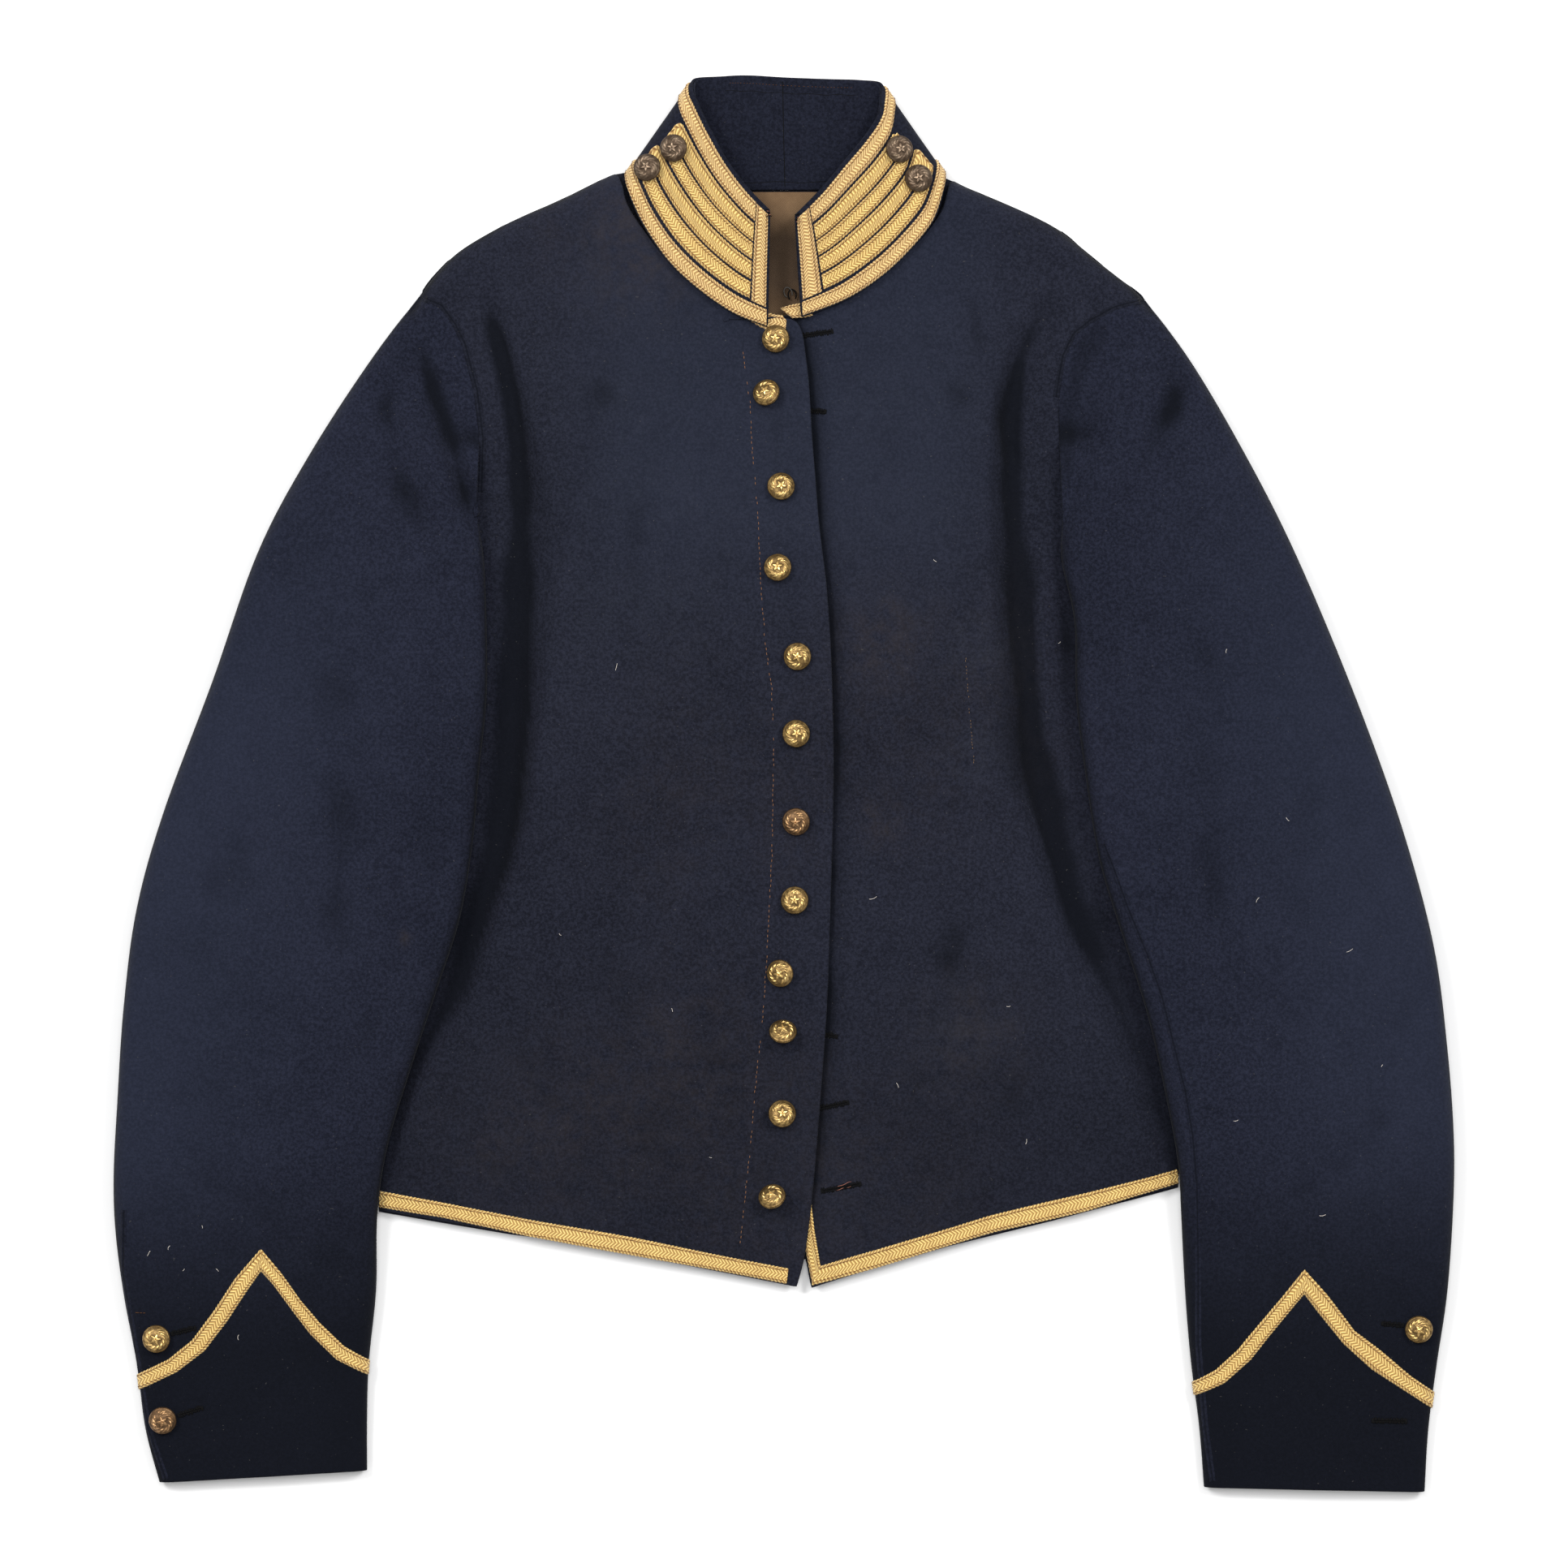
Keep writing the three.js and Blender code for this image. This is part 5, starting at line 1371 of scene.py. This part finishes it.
def collar_lace(name, start, end, low, high, seed):
    """Lace round the collar between two heights on it."""
    fine = np.linspace(start, end, 600)
    run = path_lengths(collar_point(fine, np.full(fine.shape, (low + high) / 2)))
    us, along = even_stations(run, fine, LACE_STEP)

    def place(u, v, offset):
        return on_collar(u, lerp(low, high, v), offset)

    return collar_sewn(name, place, us, along, PALE_LACE, seed)


def collar_front_lace(hand, seed):
    """Lace up the front edge of the collar."""
    low, high = (0.07, 0.57) if hand == "right" else (COLLAR_END - 0.57, COLLAR_END - 0.07)
    foot, rise = 0.16, 0.8
    corners = collar_point(np.array([low, low]), np.array([foot, foot + rise]))
    length = np.linalg.norm(corners[1] - corners[0])
    along = np.linspace(0, length, int(length / LACE_STEP))

    def place(u, v, offset):
        return on_collar(lerp(low, high, v), u, offset)

    us = foot + rise * along / length
    return collar_sewn(f"collar front lace {hand}", place, us, along, PALE_LACE, seed)


LOOPS = {
    "upper": dict(
        high_end=4.28, low_end=4.9, tip=4.62, tip_up=0.735, slit_end=3.75, low=0.495, slit_low=0.625,
        slit_high=0.64, high=0.785,
    ),
    "lower": dict(
        high_end=4.93, low_end=5.3, tip=5.2, tip_up=0.42, slit_end=4.3, low=0.17, slit_low=0.31,
        slit_high=0.33, high=0.475,
    ),
}
LOOP_START = 0.62


def collar_loop(level, hand, seed):
    """False buttonhole: two rows of lace joined in a point round the button."""
    loop = LOOPS[level]
    middle = (loop["slit_low"] + loop["slit_high"]) / 2
    corners = table(
        "out_around out_up in_around in_up",
        (LOOP_START, loop["high"], LOOP_START, loop["slit_high"]),
        (loop["high_end"], loop["high"], loop["slit_end"] - 0.05, loop["slit_high"]),
        (loop["tip"], loop["tip_up"], loop["slit_end"], middle),
        (loop["low_end"], loop["low"] + 0.02, loop["slit_end"], middle - 0.005),
        (loop["slit_end"] + 0.4, loop["low"], loop["slit_end"] - 0.05, loop["slit_low"]),
        (LOOP_START, loop["low"], LOOP_START, loop["slit_low"]),
    )
    index = np.arange(6)

    def place(u, v, offset):
        edge = {name: np.interp(u, index, column) for name, column in corners.items()}
        around = lerp(edge["in_around"], edge["out_around"], v)
        around = around if hand == "right" else COLLAR_END - around
        return on_collar(around, lerp(edge["in_up"], edge["out_up"], v), offset)

    fine = np.linspace(0, 5, 1000)
    run = path_lengths(place(fine, np.full(fine.shape, 0.5), np.zeros(fine.shape)))
    us, along = even_stations(run, fine, LACE_STEP)
    return collar_sewn(f"collar {level} loop {hand}", place, us, along, LACE, seed)


# Buttons
def star(angle):
    """Reach of a five-pointed star at an angle, one at its points."""
    turn = np.abs(np.mod(angle, math.tau / 5) - math.pi / 5) / (math.pi / 5)
    return 0.42 + 0.58 * np.abs(turn) ** 1.4


def button_relief(radius, angle):
    """A wreath of leaves round a star, inside a raised rim."""
    rim = 0.2 * np.exp(-(((radius - 7.0) / 0.22) ** 2))
    leaf = np.abs(np.sin(angle * 6.5 + radius * 1.6))
    gap_at_top = smooth(np.abs(angle - 1.57), 0.1, 0.5)
    wreath = 0.75 * leaf**1.2 * np.exp(-(((radius - 4.9) / 0.85) ** 2)) * gap_at_top
    centre = 0.7 * smooth(3.4 * star(angle) - radius, -0.15, 0.5)
    boss = 0.25 * smooth(1.0 - radius, 0, 0.5)
    return rim + wreath + centre + boss


BUTTON_SECTORS = 72
BUTTON_BACK = ((7.3, 2.6), (6.9, 2.15), (6.5, 1.95), (2.4, 1.8), (1.6, 1.5), (1.4, 0.8), (1.3, 0.15))


def button_mesh(name, material):
    """A domed button: its relief from the middle out, then the back and the shank."""
    radii = np.concatenate([np.linspace(0.02, 7.0, 32), [7.2, 7.33, BUTTON_RADIUS]])
    angles = np.arange(BUTTON_SECTORS) * math.tau / BUTTON_SECTORS
    r, a = np.meshgrid(radii, angles, indexing="ij")
    relief = button_relief(r, a) * smooth(r, 0, 0.6)
    dome = 3.0 + 3.2 * np.maximum(0, 1 - (r / BUTTON_RADIUS) ** 2) ** 0.62 + relief
    back_r, back_z = (np.repeat(np.array(c)[:, None], BUTTON_SECTORS, 1) for c in zip(*BUTTON_BACK))
    radius = np.concatenate([r, back_r])
    points = np.stack([radius * np.cos(angles), radius * np.sin(angles), np.concatenate([dome, back_z])], -1)
    rows, columns = radius.shape
    faces = []
    for i in range(rows - 1):
        for j in range(columns):
            k = (j + 1) % columns
            faces.append((i * columns + j, (i + 1) * columns + j, (i + 1) * columns + k, i * columns + k))
    faces.append(tuple(range(columns)))
    faces.append(tuple((rows - 1) * columns + j for j in reversed(range(columns))))
    mesh = bpy.data.meshes.new(name)
    mesh.from_pydata((points.reshape(-1, 3) * MM).tolist(), [], faces)
    mesh.polygons.foreach_set("use_smooth", np.ones(len(mesh.polygons), bool))
    # Patina in the low places of the relief, and painted shade on the rim of the dome
    low_side = smooth(0.3 - relief, 0, 0.3) * smooth(7.2 - r, 0, 0.3)
    patina_and_rim_shade = np.maximum(low_side, 0.9 * smooth(r, 5.7, 6.8))
    point_shade(mesh, "patina_and_shade", np.concatenate([patina_and_rim_shade, np.ones(back_r.shape)]) * 0.8)
    mesh.materials.append(material)
    return mesh


BUTTON_MESHES = {
    "bright": button_mesh("gilt button", BRASS),
    "coppery": button_mesh("coppery button", COPPERY),
    "brown": button_mesh("tarnished button", BROWN_BRASS),
}


def button_metal(patina):
    if patina > 0.9:
        return "brown"
    return "coppery" if patina > 0.5 else "bright"


def button(name, row, on_surface, lift):
    """A button on its shank, where a row of its table says, leaning, turned and worn."""
    spot = [np.array([value]) for value in list(row.values())[:2]]
    foot, tip = (on_surface(*spot, np.full(1, out))[0] for out in (0.0, 1.0))
    tilt, lean, toward, spin = (math.radians(row.get(key, 0)) for key in ("tilt", "lean", "toward", "spin"))
    up = Vector(tip - foot)
    outward = Vector((0, 0, 1)).rotation_difference(up).to_matrix().to_4x4()
    tilted = Matrix.Rotation(tilt, 4, Vector((-1, 0, 0)))
    leaning = Matrix.Rotation(lean, 4, Vector((-math.sin(toward), math.cos(toward), 0)))
    turned = Matrix.Rotation(spin, 4, Vector((0, 0, 1)))
    rim_drop = BUTTON_RADIUS * math.sin(tilt + lean) - 2.3 * math.cos(tilt + lean)
    clear = max(rim_drop, 1.4 * math.sin(tilt + lean), 0)
    place = Vector(foot) + up * (lift + clear)
    obj = linked(name, BUTTON_MESHES[button_metal(row["patina"])])
    obj.matrix_world = Matrix.Translation(place * MM) @ outward @ tilted @ leaning @ turned
    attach(obj, "root")
    return obj


def rows_of(columns):
    """A table's rows, each with its values by name."""
    return [dict(zip(columns, values)) for values in zip(*columns.values())]


# Sewing
def dashes(name, line, on_surface, material, pitch, length, radius, lift, seed, keep=1.0):
    """A row of small stitches along a line on the cloth."""
    rng = np.random.default_rng(seed)
    run = lengths_along(line["x"], line["y"])
    starts = np.arange(pitch, run[-1] - pitch, pitch)
    starts = starts[rng.random(len(starts)) < keep]
    starts = starts + rng.uniform(-0.3, 0.3, len(starts))
    x, y = along_line(line, (starts[:, None] + STITCH_STEPS * length) / run[-1])
    x = x + rng.uniform(-0.25, 0.25, (len(starts), 1))
    height = np.broadcast_to(lift + 0.18 * np.cos(STITCH_STEPS * math.pi), x.shape)
    return finish(tubes(name, on_surface(x, y, height), radius, 0.3), material)


# Twist of a worked buttonhole
TWIST_PITCH = 0.5
TWIST_RADIUS = 0.31
TWIST_REACH = 1.35
BAR_STRANDS = (-0.3, 0.05, 0.4)
SLIT_RADIUS = 0.24
# Stray fibres
FIBRE_POINTS = 9
FIBRE_RADIUS = 0.11
FIBRE_LIFT = 0.22


def buttonhole(name, ends, on_surface, seed):
    """A worked buttonhole: twist laid close across both lips of a slit, drawn as a dark tube of painted
    shade, with a bar at each end.
    """
    rng = np.random.default_rng(seed)
    start, end = np.reshape(ends, (2, 2))
    length = np.hypot(*(end - start))
    forward = (end - start) / length
    side = np.array([-forward[1], forward[0]])

    def laid(along, across, height):
        x = start[0] + forward[0] * along + side[0] * across
        y = start[1] + forward[1] * along + side[1] * across
        return on_surface(x, y, np.broadcast_to(height, x.shape))

    count = int(length / TWIST_PITCH)
    s = np.linspace(TWIST_PITCH, length - TWIST_PITCH, count)[:, None]
    steps = np.linspace(0, 1, 6)
    paths = []
    for sign in (-1, 1):
        reach = sign * (0.12 + steps * (TWIST_REACH + rng.uniform(-0.55, 0.35, (count, 1))))
        slant = rng.uniform(-0.5, 0.5, (count, 1)) * steps
        height = 0.12 + 0.42 * np.sin(np.minimum(steps * 1.15 + 0.12, 1) * math.pi)
        paths.append(laid(s + slant, reach, height))
    across = np.linspace(-1.15, 1.05, 6)
    for place in (0.0, length):
        for shift in BAR_STRANDS:
            paths.append(laid(place + shift, across, 0.42 - 0.1 * np.abs(across))[None])
    sewn = finish(tubes(name, np.concatenate(paths), TWIST_RADIUS, 0.2), BLACK_THREAD)
    slit = laid(np.linspace(-0.2, length + 0.2, 24), 0.0, 0.1)
    return [sewn, finish(tubes(f"{name} slit", slit[None], SLIT_RADIUS), SHADE_SLIT)]


def loose_thread(name, ends, on_surface, radius, material, seed):
    """Loose threads from point to point, bowed and a little wavering."""
    rng = np.random.default_rng(seed)
    t = np.linspace(0, 1, 12)
    paths = []
    for (x1, y1), (x2, y2) in ends:
        dx, dy = x2 - x1, y2 - y1
        length = math.hypot(dx, dy)
        curve = 0.06 * length * np.sin(t * math.pi) * rng.uniform(-1, 1)
        waver = 0.5 * np.sin(t * rng.uniform(4, 9) + rng.uniform(0, 6)) * t
        x = x1 + dx * t - dy / length * (curve + waver)
        y = y1 + dy * t + dx / length * (curve + waver)
        height = 0.3 + 0.7 * np.sin(t * math.pi * rng.uniform(1, 2.5)) ** 2
        paths.append(on_surface(x, y, height))
    return finish(tubes(name, np.array(paths), radius, 0.6), material)


def lint(name, on_surface, spots, seed):
    """Stray fibres lying on the cloth."""
    rng = np.random.default_rng(seed)
    paths = []
    for x, y in spots:
        angle = rng.uniform(0, math.tau)
        length = rng.uniform(1.5, 5)
        turn = rng.uniform(-1.6, 1.6)
        heading = angle + turn * np.linspace(0, 1, FIBRE_POINTS)
        px = x + np.cumsum(np.cos(heading)) * length / FIBRE_POINTS
        py = y + np.cumsum(np.sin(heading)) * length / FIBRE_POINTS
        paths.append(on_surface(px, py, np.full(FIBRE_POINTS, FIBRE_LIFT)))
    return finish(tubes(name, np.array(paths), FIBRE_RADIUS), PALE_THREAD)


# Across a seam's welt: distance from its line, height, and how dark it lies, as painted shade darkest in the
# sunk line
WELT = table(
    "across height deep",
    (-1.9, -0.12, 0.5), (-1.3, 0.1, 0.3), (-0.8, 0.24, 0.3), (-0.35, 0.18, 0.6), (0, 0, 1),
    (0.35, 0.18, 0.6), (0.8, 0.24, 0.3), (1.3, 0.1, 0.3), (1.9, -0.12, 0.5),
)


def raised_seam(name, line, on_surface, material, seed):
    """A seam as a narrow welt of cloth beside a sunk line."""
    count = int(lengths_along(line["x"], line["y"])[-1] / 1.6) + 2
    x, y = along_line(line, np.linspace(0, 1, count))
    direction = np.stack([np.gradient(x), np.gradient(y)], -1)
    direction /= np.linalg.norm(direction, axis=-1, keepdims=True)
    px = x[:, None] - direction[:, 1:] * WELT["across"]
    py = y[:, None] + direction[:, :1] * WELT["across"]
    waver = 1 + 0.2 * soft_noise(px, py, 9, seed)
    high = on_surface(px, py, WELT["height"] * waver + 0.02)
    low = on_surface(px, py, np.full(px.shape, -0.35))
    shades = {**cloth_shades(high), "deep": np.broadcast_to(WELT["deep"], px.shape)}
    obj = closed_sheet(name, high, low, shades, swell=0)
    return finish(obj, material)


def on_collar_inside(around, up, offset):
    return on_collar(around, up, -PLY_GAP - COLLAR_PLY - np.asarray(offset))


def inside_line(name, ends, radius, lift, waver):
    """A sunk line or welt on the inside of the collar, drawn as a dark tube of painted shade."""
    (a1, up1), (a2, up2) = ends
    t = np.linspace(0, 1, 60)
    up = lerp(up1, up2, t) + waver * np.sin(t * 31)
    path = on_collar_inside(lerp(a1, a2, t), up, np.full(60, lift))
    return finish(tubes(name, path[None], radius), SHADE_SLIT)


def inside_pricks(name, ends, pitch_around, seed):
    """Tiny stitches along a line on the inside of the collar."""
    rng = np.random.default_rng(seed)
    (a1, up1), (a2, up2) = ends
    count = int(abs(a2 - a1) / pitch_around)
    t = (np.arange(count) + 0.5) / count + rng.uniform(-0.004, 0.004, count)
    around = lerp(a1, a2, t)[:, None] + STITCH_STEPS * 0.03
    up = np.broadcast_to(lerp(up1, up2, t)[:, None], around.shape)
    height = np.broadcast_to(0.02 + 0.1 * np.cos(STITCH_STEPS * math.pi), around.shape)
    return finish(tubes(name, on_collar_inside(around, up, height), 0.13), BROWN_THREAD)


def frayed_corner(number, around, seed):
    """Frayed yarns at a top corner of the collar, and the thread ends that show among them."""
    rng = np.random.default_rng(seed)
    t = np.linspace(0, 1, 10)
    paths = []
    for _ in range(9):
        spot = np.full(10, around + rng.uniform(-0.05, 0.05))
        up = 0.985 + rng.uniform(-0.03, 0.02)
        path = on_collar(spot, up - 0.05 * t * rng.uniform(0, 1), 0.4 + 2.2 * np.sin(t * 2.6))
        path[:, 0] += rng.uniform(-1.6, 1.6) * t
        path[:, 1] += rng.uniform(-1.6, 1.6) * t
        paths.append(path)
    ends = np.array(paths[:3]) + (0.5, -1.2, 0.8)
    return [
        finish(tubes(f"frayed corner {number}", np.array(paths), 0.22), BLACK_THREAD),
        finish(tubes(f"thread end {number}", ends, 0.17), RED_THREAD),
    ]


def wire_loop(name, x, y, z, turn, material):
    """A hook or eye of bent wire, standing out from the neckline."""
    t = np.linspace(0, 1, 26)
    a = math.pi * (1.5 * t - 0.25)
    px = 2.1 * np.cos(a)
    py = 2.9 * np.sin(a)
    c, k = math.cos(turn), math.sin(turn)
    path = np.stack([x + c * px - k * py, y + k * px + c * py, z + 0.4 * np.sin(t * math.pi)], -1)
    return finish(tubes(name, path[None], 0.42), material)


ON_FRONT = {hand: partial(on_front, hand) for hand in HANDS}
ON_SLEEVE = {hand: partial(on_sleeve, hand) for hand in HANDS}

# Cloth
back_cloth = back()
lining_cloth = lining()
fronts = {hand: front(hand) for hand in HANDS}
top_sleeves = {hand: sleeve_layer(hand, 1) for hand in HANDS}
under_sleeves = {hand: sleeve_layer(hand, -1) for hand in HANDS}
collar_outer = collar_ply("collar outside", PLY_GAP, PLY_GAP + COLLAR_PLY)
collar_facing = collar_ply("collar facing", -PLY_GAP - COLLAR_PLY, -PLY_GAP)
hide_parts("back")
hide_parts("neck_lining")
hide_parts("collar_outer")
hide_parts("collar_facing")


# Laces
def replacing(pieces, node):
    """A lace and its stitches, with the lace in the place of its solid."""
    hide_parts(node)
    return pieces


hem_laces, cuff_laces, tongues = {}, {}, {}
for number, hand in enumerate(HANDS):
    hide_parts(f"front_{hand}")
    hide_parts(f"topsleeve_{hand}")
    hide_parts(f"undersleeve_{hand}")
    laid = laid_lace(f"hem lace {hand}", HEM_LACE[hand], ON_FRONT[hand], LACE, 71 + number)
    hem_laces[hand] = replacing(laid, f"lace_hem_{hand}")
    laid = laid_lace(f"cuff lace {hand}", CUFF_LACE[hand], ON_SLEEVE[hand], LACE, 73 + number, 1.0)
    cuff_laces[hand] = replacing(laid, f"lace_cuff_{hand}")

# Both ends of the neckline lace lie on the right front, which is uppermost there
for number, hand in enumerate(HANDS):
    name = f"neck lace end {hand}"
    tongues[hand] = laid_lace(name, NECK_TONGUE[hand], ON_FRONT["right"], PALE_LACE, 66 + number, 0.6)

edge_laces = replacing(
    laid_lace("front edge lace", FRONT_EDGE_LACE, ON_FRONT["left"], LACE, 75), "lace_front_edge"
)
collar_laces = [
    *replacing(collar_lace("collar top lace", 0.6, COLLAR_END - 0.6, 0.81, 0.965, 76), "lace_collar_top"),
    *replacing(collar_lace("collar base lace", 0.03, COLLAR_END - 0.03, 0.0, 0.14, 77), "lace_collar_base"),
]
for hand in HANDS:
    collar_laces += replacing(collar_front_lace(hand, 78), f"lace_collar_front_{hand}")
    for number, level in enumerate(LOOPS):
        collar_laces += replacing(collar_loop(level, hand, 80 + number), f"lace_collar_loop_{level}_{hand}")

# Buttons
SHANK_LIFT = 0.25
for number, row in enumerate(rows_of(FRONT_BUTTONS), 1):
    made = button(f"front button {number}", row, ON_FRONT["right"], SHANK_LIFT)
    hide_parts(f"button_front_{number}")
for number, row in enumerate(rows_of(COLLAR_BUTTONS), 1):
    made = button(f"collar button {number}", row, on_collar, COLLAR_LACE_BASE + 0.9)
    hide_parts(f"button_collar_{number}")
for hand in HANDS:
    for number, row in enumerate(rows_of(CUFF_BUTTONS[hand]), 1):
        made = button(f"cuff button {hand} {number}", row, ON_SLEEVE[hand], SHANK_LIFT)
        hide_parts(f"button_cuff_{hand}_{number}")

# Buttonholes and rows of stitches
MEND = line_of((97.2, 68.6), (98.5, 50), (100, 30), (102, 8.5))
CUFF_VENT = line_of((-348, -283), (-344, -283.2), (-340, -283.4))
RED_THREADS = (((27.6, -216.6), (36.4, -213.6)), ((28, -218), (36, -215.4)))
front_sewing = []
for number, ends in enumerate(FRONT_HOLES):
    front_sewing += buttonhole(f"front buttonhole {number + 1}", ends, ON_FRONT["left"], 90 + number)
sleeve_sewing = {hand: [] for hand in HANDS}
for hand in HANDS:
    for number, ends in enumerate(CUFF_HOLES[hand]):
        name = f"cuff buttonhole {hand} {number + 1}"
        sleeve_sewing[hand] += buttonhole(name, ends, ON_SLEEVE[hand], 96 + number)
front_sewing += [
    dashes("facing stitches", FACING_LINE, ON_FRONT["right"], ROW_THREAD, 2.7, 1.4, 0.19, 0.06, 101, 0.8),
    dashes("mended wear", MEND, ON_FRONT["left"], TAN_THREAD, 1.6, 0.9, 0.13, 0.0, 102, 0.7),
]
sleeve_sewing["right"].append(
    dashes("vent stitches", CUFF_VENT, ON_SLEEVE["right"], BROWN_THREAD, 1.4, 1.1, 0.2, 0.25, 103)
)
front_sewing.append(loose_thread("red thread", RED_THREADS, ON_FRONT["left"], 0.16, RED_THREAD, 104))
collar_sewing = [
    # Painted shade along the collar's back seam and its two folds
    inside_line("collar back seam", ((9.02, 0.02), (8.98, 0.97)), 0.3, -0.12, 0.0),
    inside_line("collar top fold", ((7.5, 0.87), (10.6, 0.86)), 0.2, -0.08, 0.004),
    inside_line("collar lower fold", ((7.3, 0.06), (10.8, 0.06)), 0.22, -0.1, 0.006),
    inside_pricks("collar top stitches", ((7.5, 0.94), (10.6, 0.93)), 0.085, 131),
    *frayed_corner(1, 0.06, 141),
    *frayed_corner(2, COLLAR_END - 0.06, 142),
]
hooks = [
    wire_loop("eye of the neck hook", 2.4, 263.5, 5.4, 0.4, WIRE),
    wire_loop("second eye of the neck hook", 4.6, 262.2, 5.2, 0.1, BLACK_THREAD),
]

# Seams raised along the sleeves and round the armholes
SLEEVE_SEAMS = {
    "right": line_of((-352.6, -228), (-353.4, -262), (-347.5, -300), (-340.5, -345), (-331, -373)),
    "left": line_of(
        (171, -32), (176.7, -46.3), (183.3, -65), (194.2, -91.5), (202, -113.7), (208, -138), (214.5, -164),
        (218.5, -188), (221, -216), (221.6, -250), (222, -300), (226, -345), (230, -374),
    ),
}
ARMHOLE_SEAMS = {
    "right": line_of(
        (-192, 260), (-183, 256), (-175.8, 246), (-170.4, 235), (-164, 210), (-161, 185), (-162, 156)
    ),
    "left": line_of((191, 259), (177, 255.2), (164, 248), (155.2, 241), (149.4, 229), (145.8, 207)),
}
for hand in HANDS:
    welt = raised_seam(f"sleeve seam {hand}", SLEEVE_SEAMS[hand], ON_SLEEVE[hand], NAVY_SLEEVE, 110)
    sleeve_sewing[hand].append(welt)
    raised_seam(f"armhole seam {hand}", ARMHOLE_SEAMS[hand], ON_FRONT[hand], NAVY, 112)

# Lint, as seen on the sleeves and skirts
LINT = {
    "sleeve right": (
        (-311, -236), (-338.5, -249.5), (-327.7, -247), (-320.2, -259.3), (-302, -261), (-291.5, -298)
    ),
    "sleeve left": (
        (236.7, 72), (254.1, -60.6), (270, -20), (300, -90), (240, -180), (290, -230), (320, -150)
    ),
    "front right": ((-60, -120), (-90, 60), (-120, -80), (-40, -200)),
    "front left": ((148.5, 76.3), (158.5, 135), (119, -119), (60, -160), (80, 120), (50, -60), (130, -190)),
}
for number, (part, spots) in enumerate(LINT.items()):
    layer, hand = part.split()
    on_surface = {"sleeve": ON_SLEEVE, "front": ON_FRONT}[layer][hand]
    lint(f"lint {part}", on_surface, spots, 120 + number)

# Table, light and camera
TABLE_REACH = 4.0
TABLE_Z = -0.0003
TABLE_CORNERS = ((-1, -1), (1, -1), (1, 1), (-1, 1))
floor_mesh = bpy.data.meshes.new("table top")
floor_mesh.from_pydata(
    [(x * TABLE_REACH, y * TABLE_REACH, TABLE_Z) for x, y in TABLE_CORNERS], [], [(0, 1, 2, 3)]
)
floor = bpy.data.objects.new("table top", floor_mesh)
bpy.context.scene.collection.objects.link(floor)
floor_material = bpy.data.materials.new("pale table")
floor_material.use_nodes = True
floor_shader = floor_material.node_tree.nodes["Principled BSDF"]
floor_shader.inputs["Base Color"].default_value = (0.93, 0.93, 0.93, 1)
floor_shader.inputs["Roughness"].default_value = 0.95
floor_mesh.materials.append(floor_material)

world = bpy.data.worlds.new("soft room light")
bpy.context.scene.world = world
world.use_nodes = True
world.node_tree.nodes["Background"].inputs["Color"].default_value = (1, 1, 1, 1)
world.node_tree.nodes["Background"].inputs["Strength"].default_value = 0.5


def soft_light(name, place, size, power):
    """A square lamp that shines on the middle of the table."""
    data = bpy.data.lights.new(name, "AREA")
    data.shape = "RECTANGLE"
    data.size, data.size_y = size, size
    data.energy = power
    obj = bpy.data.objects.new(name, data)
    obj.location = place
    obj.rotation_euler = (-Vector(place)).to_track_quat("-Z", "Y").to_euler()
    bpy.context.scene.collection.objects.link(obj)


soft_light("left lamp", (-1.9, 1.5, 3.3), 1.1, 78)
soft_light("right lamp", (1.9, 1.5, 3.3), 1.1, 70)
soft_light("lamp overhead", (0, 0.6, 4.6), 1.4, 70)

camera_data = bpy.data.cameras.new("camera")
camera_data.sensor_width = 36
camera_data.lens = 170.9
camera_data.clip_end = 20
camera = bpy.data.objects.new("camera", camera_data)
camera.location = (0.0002, -0.0002, 4.0)
bpy.context.scene.collection.objects.link(camera)
bpy.context.scene.camera = camera
bpy.context.scene.view_settings.view_transform = "Standard"
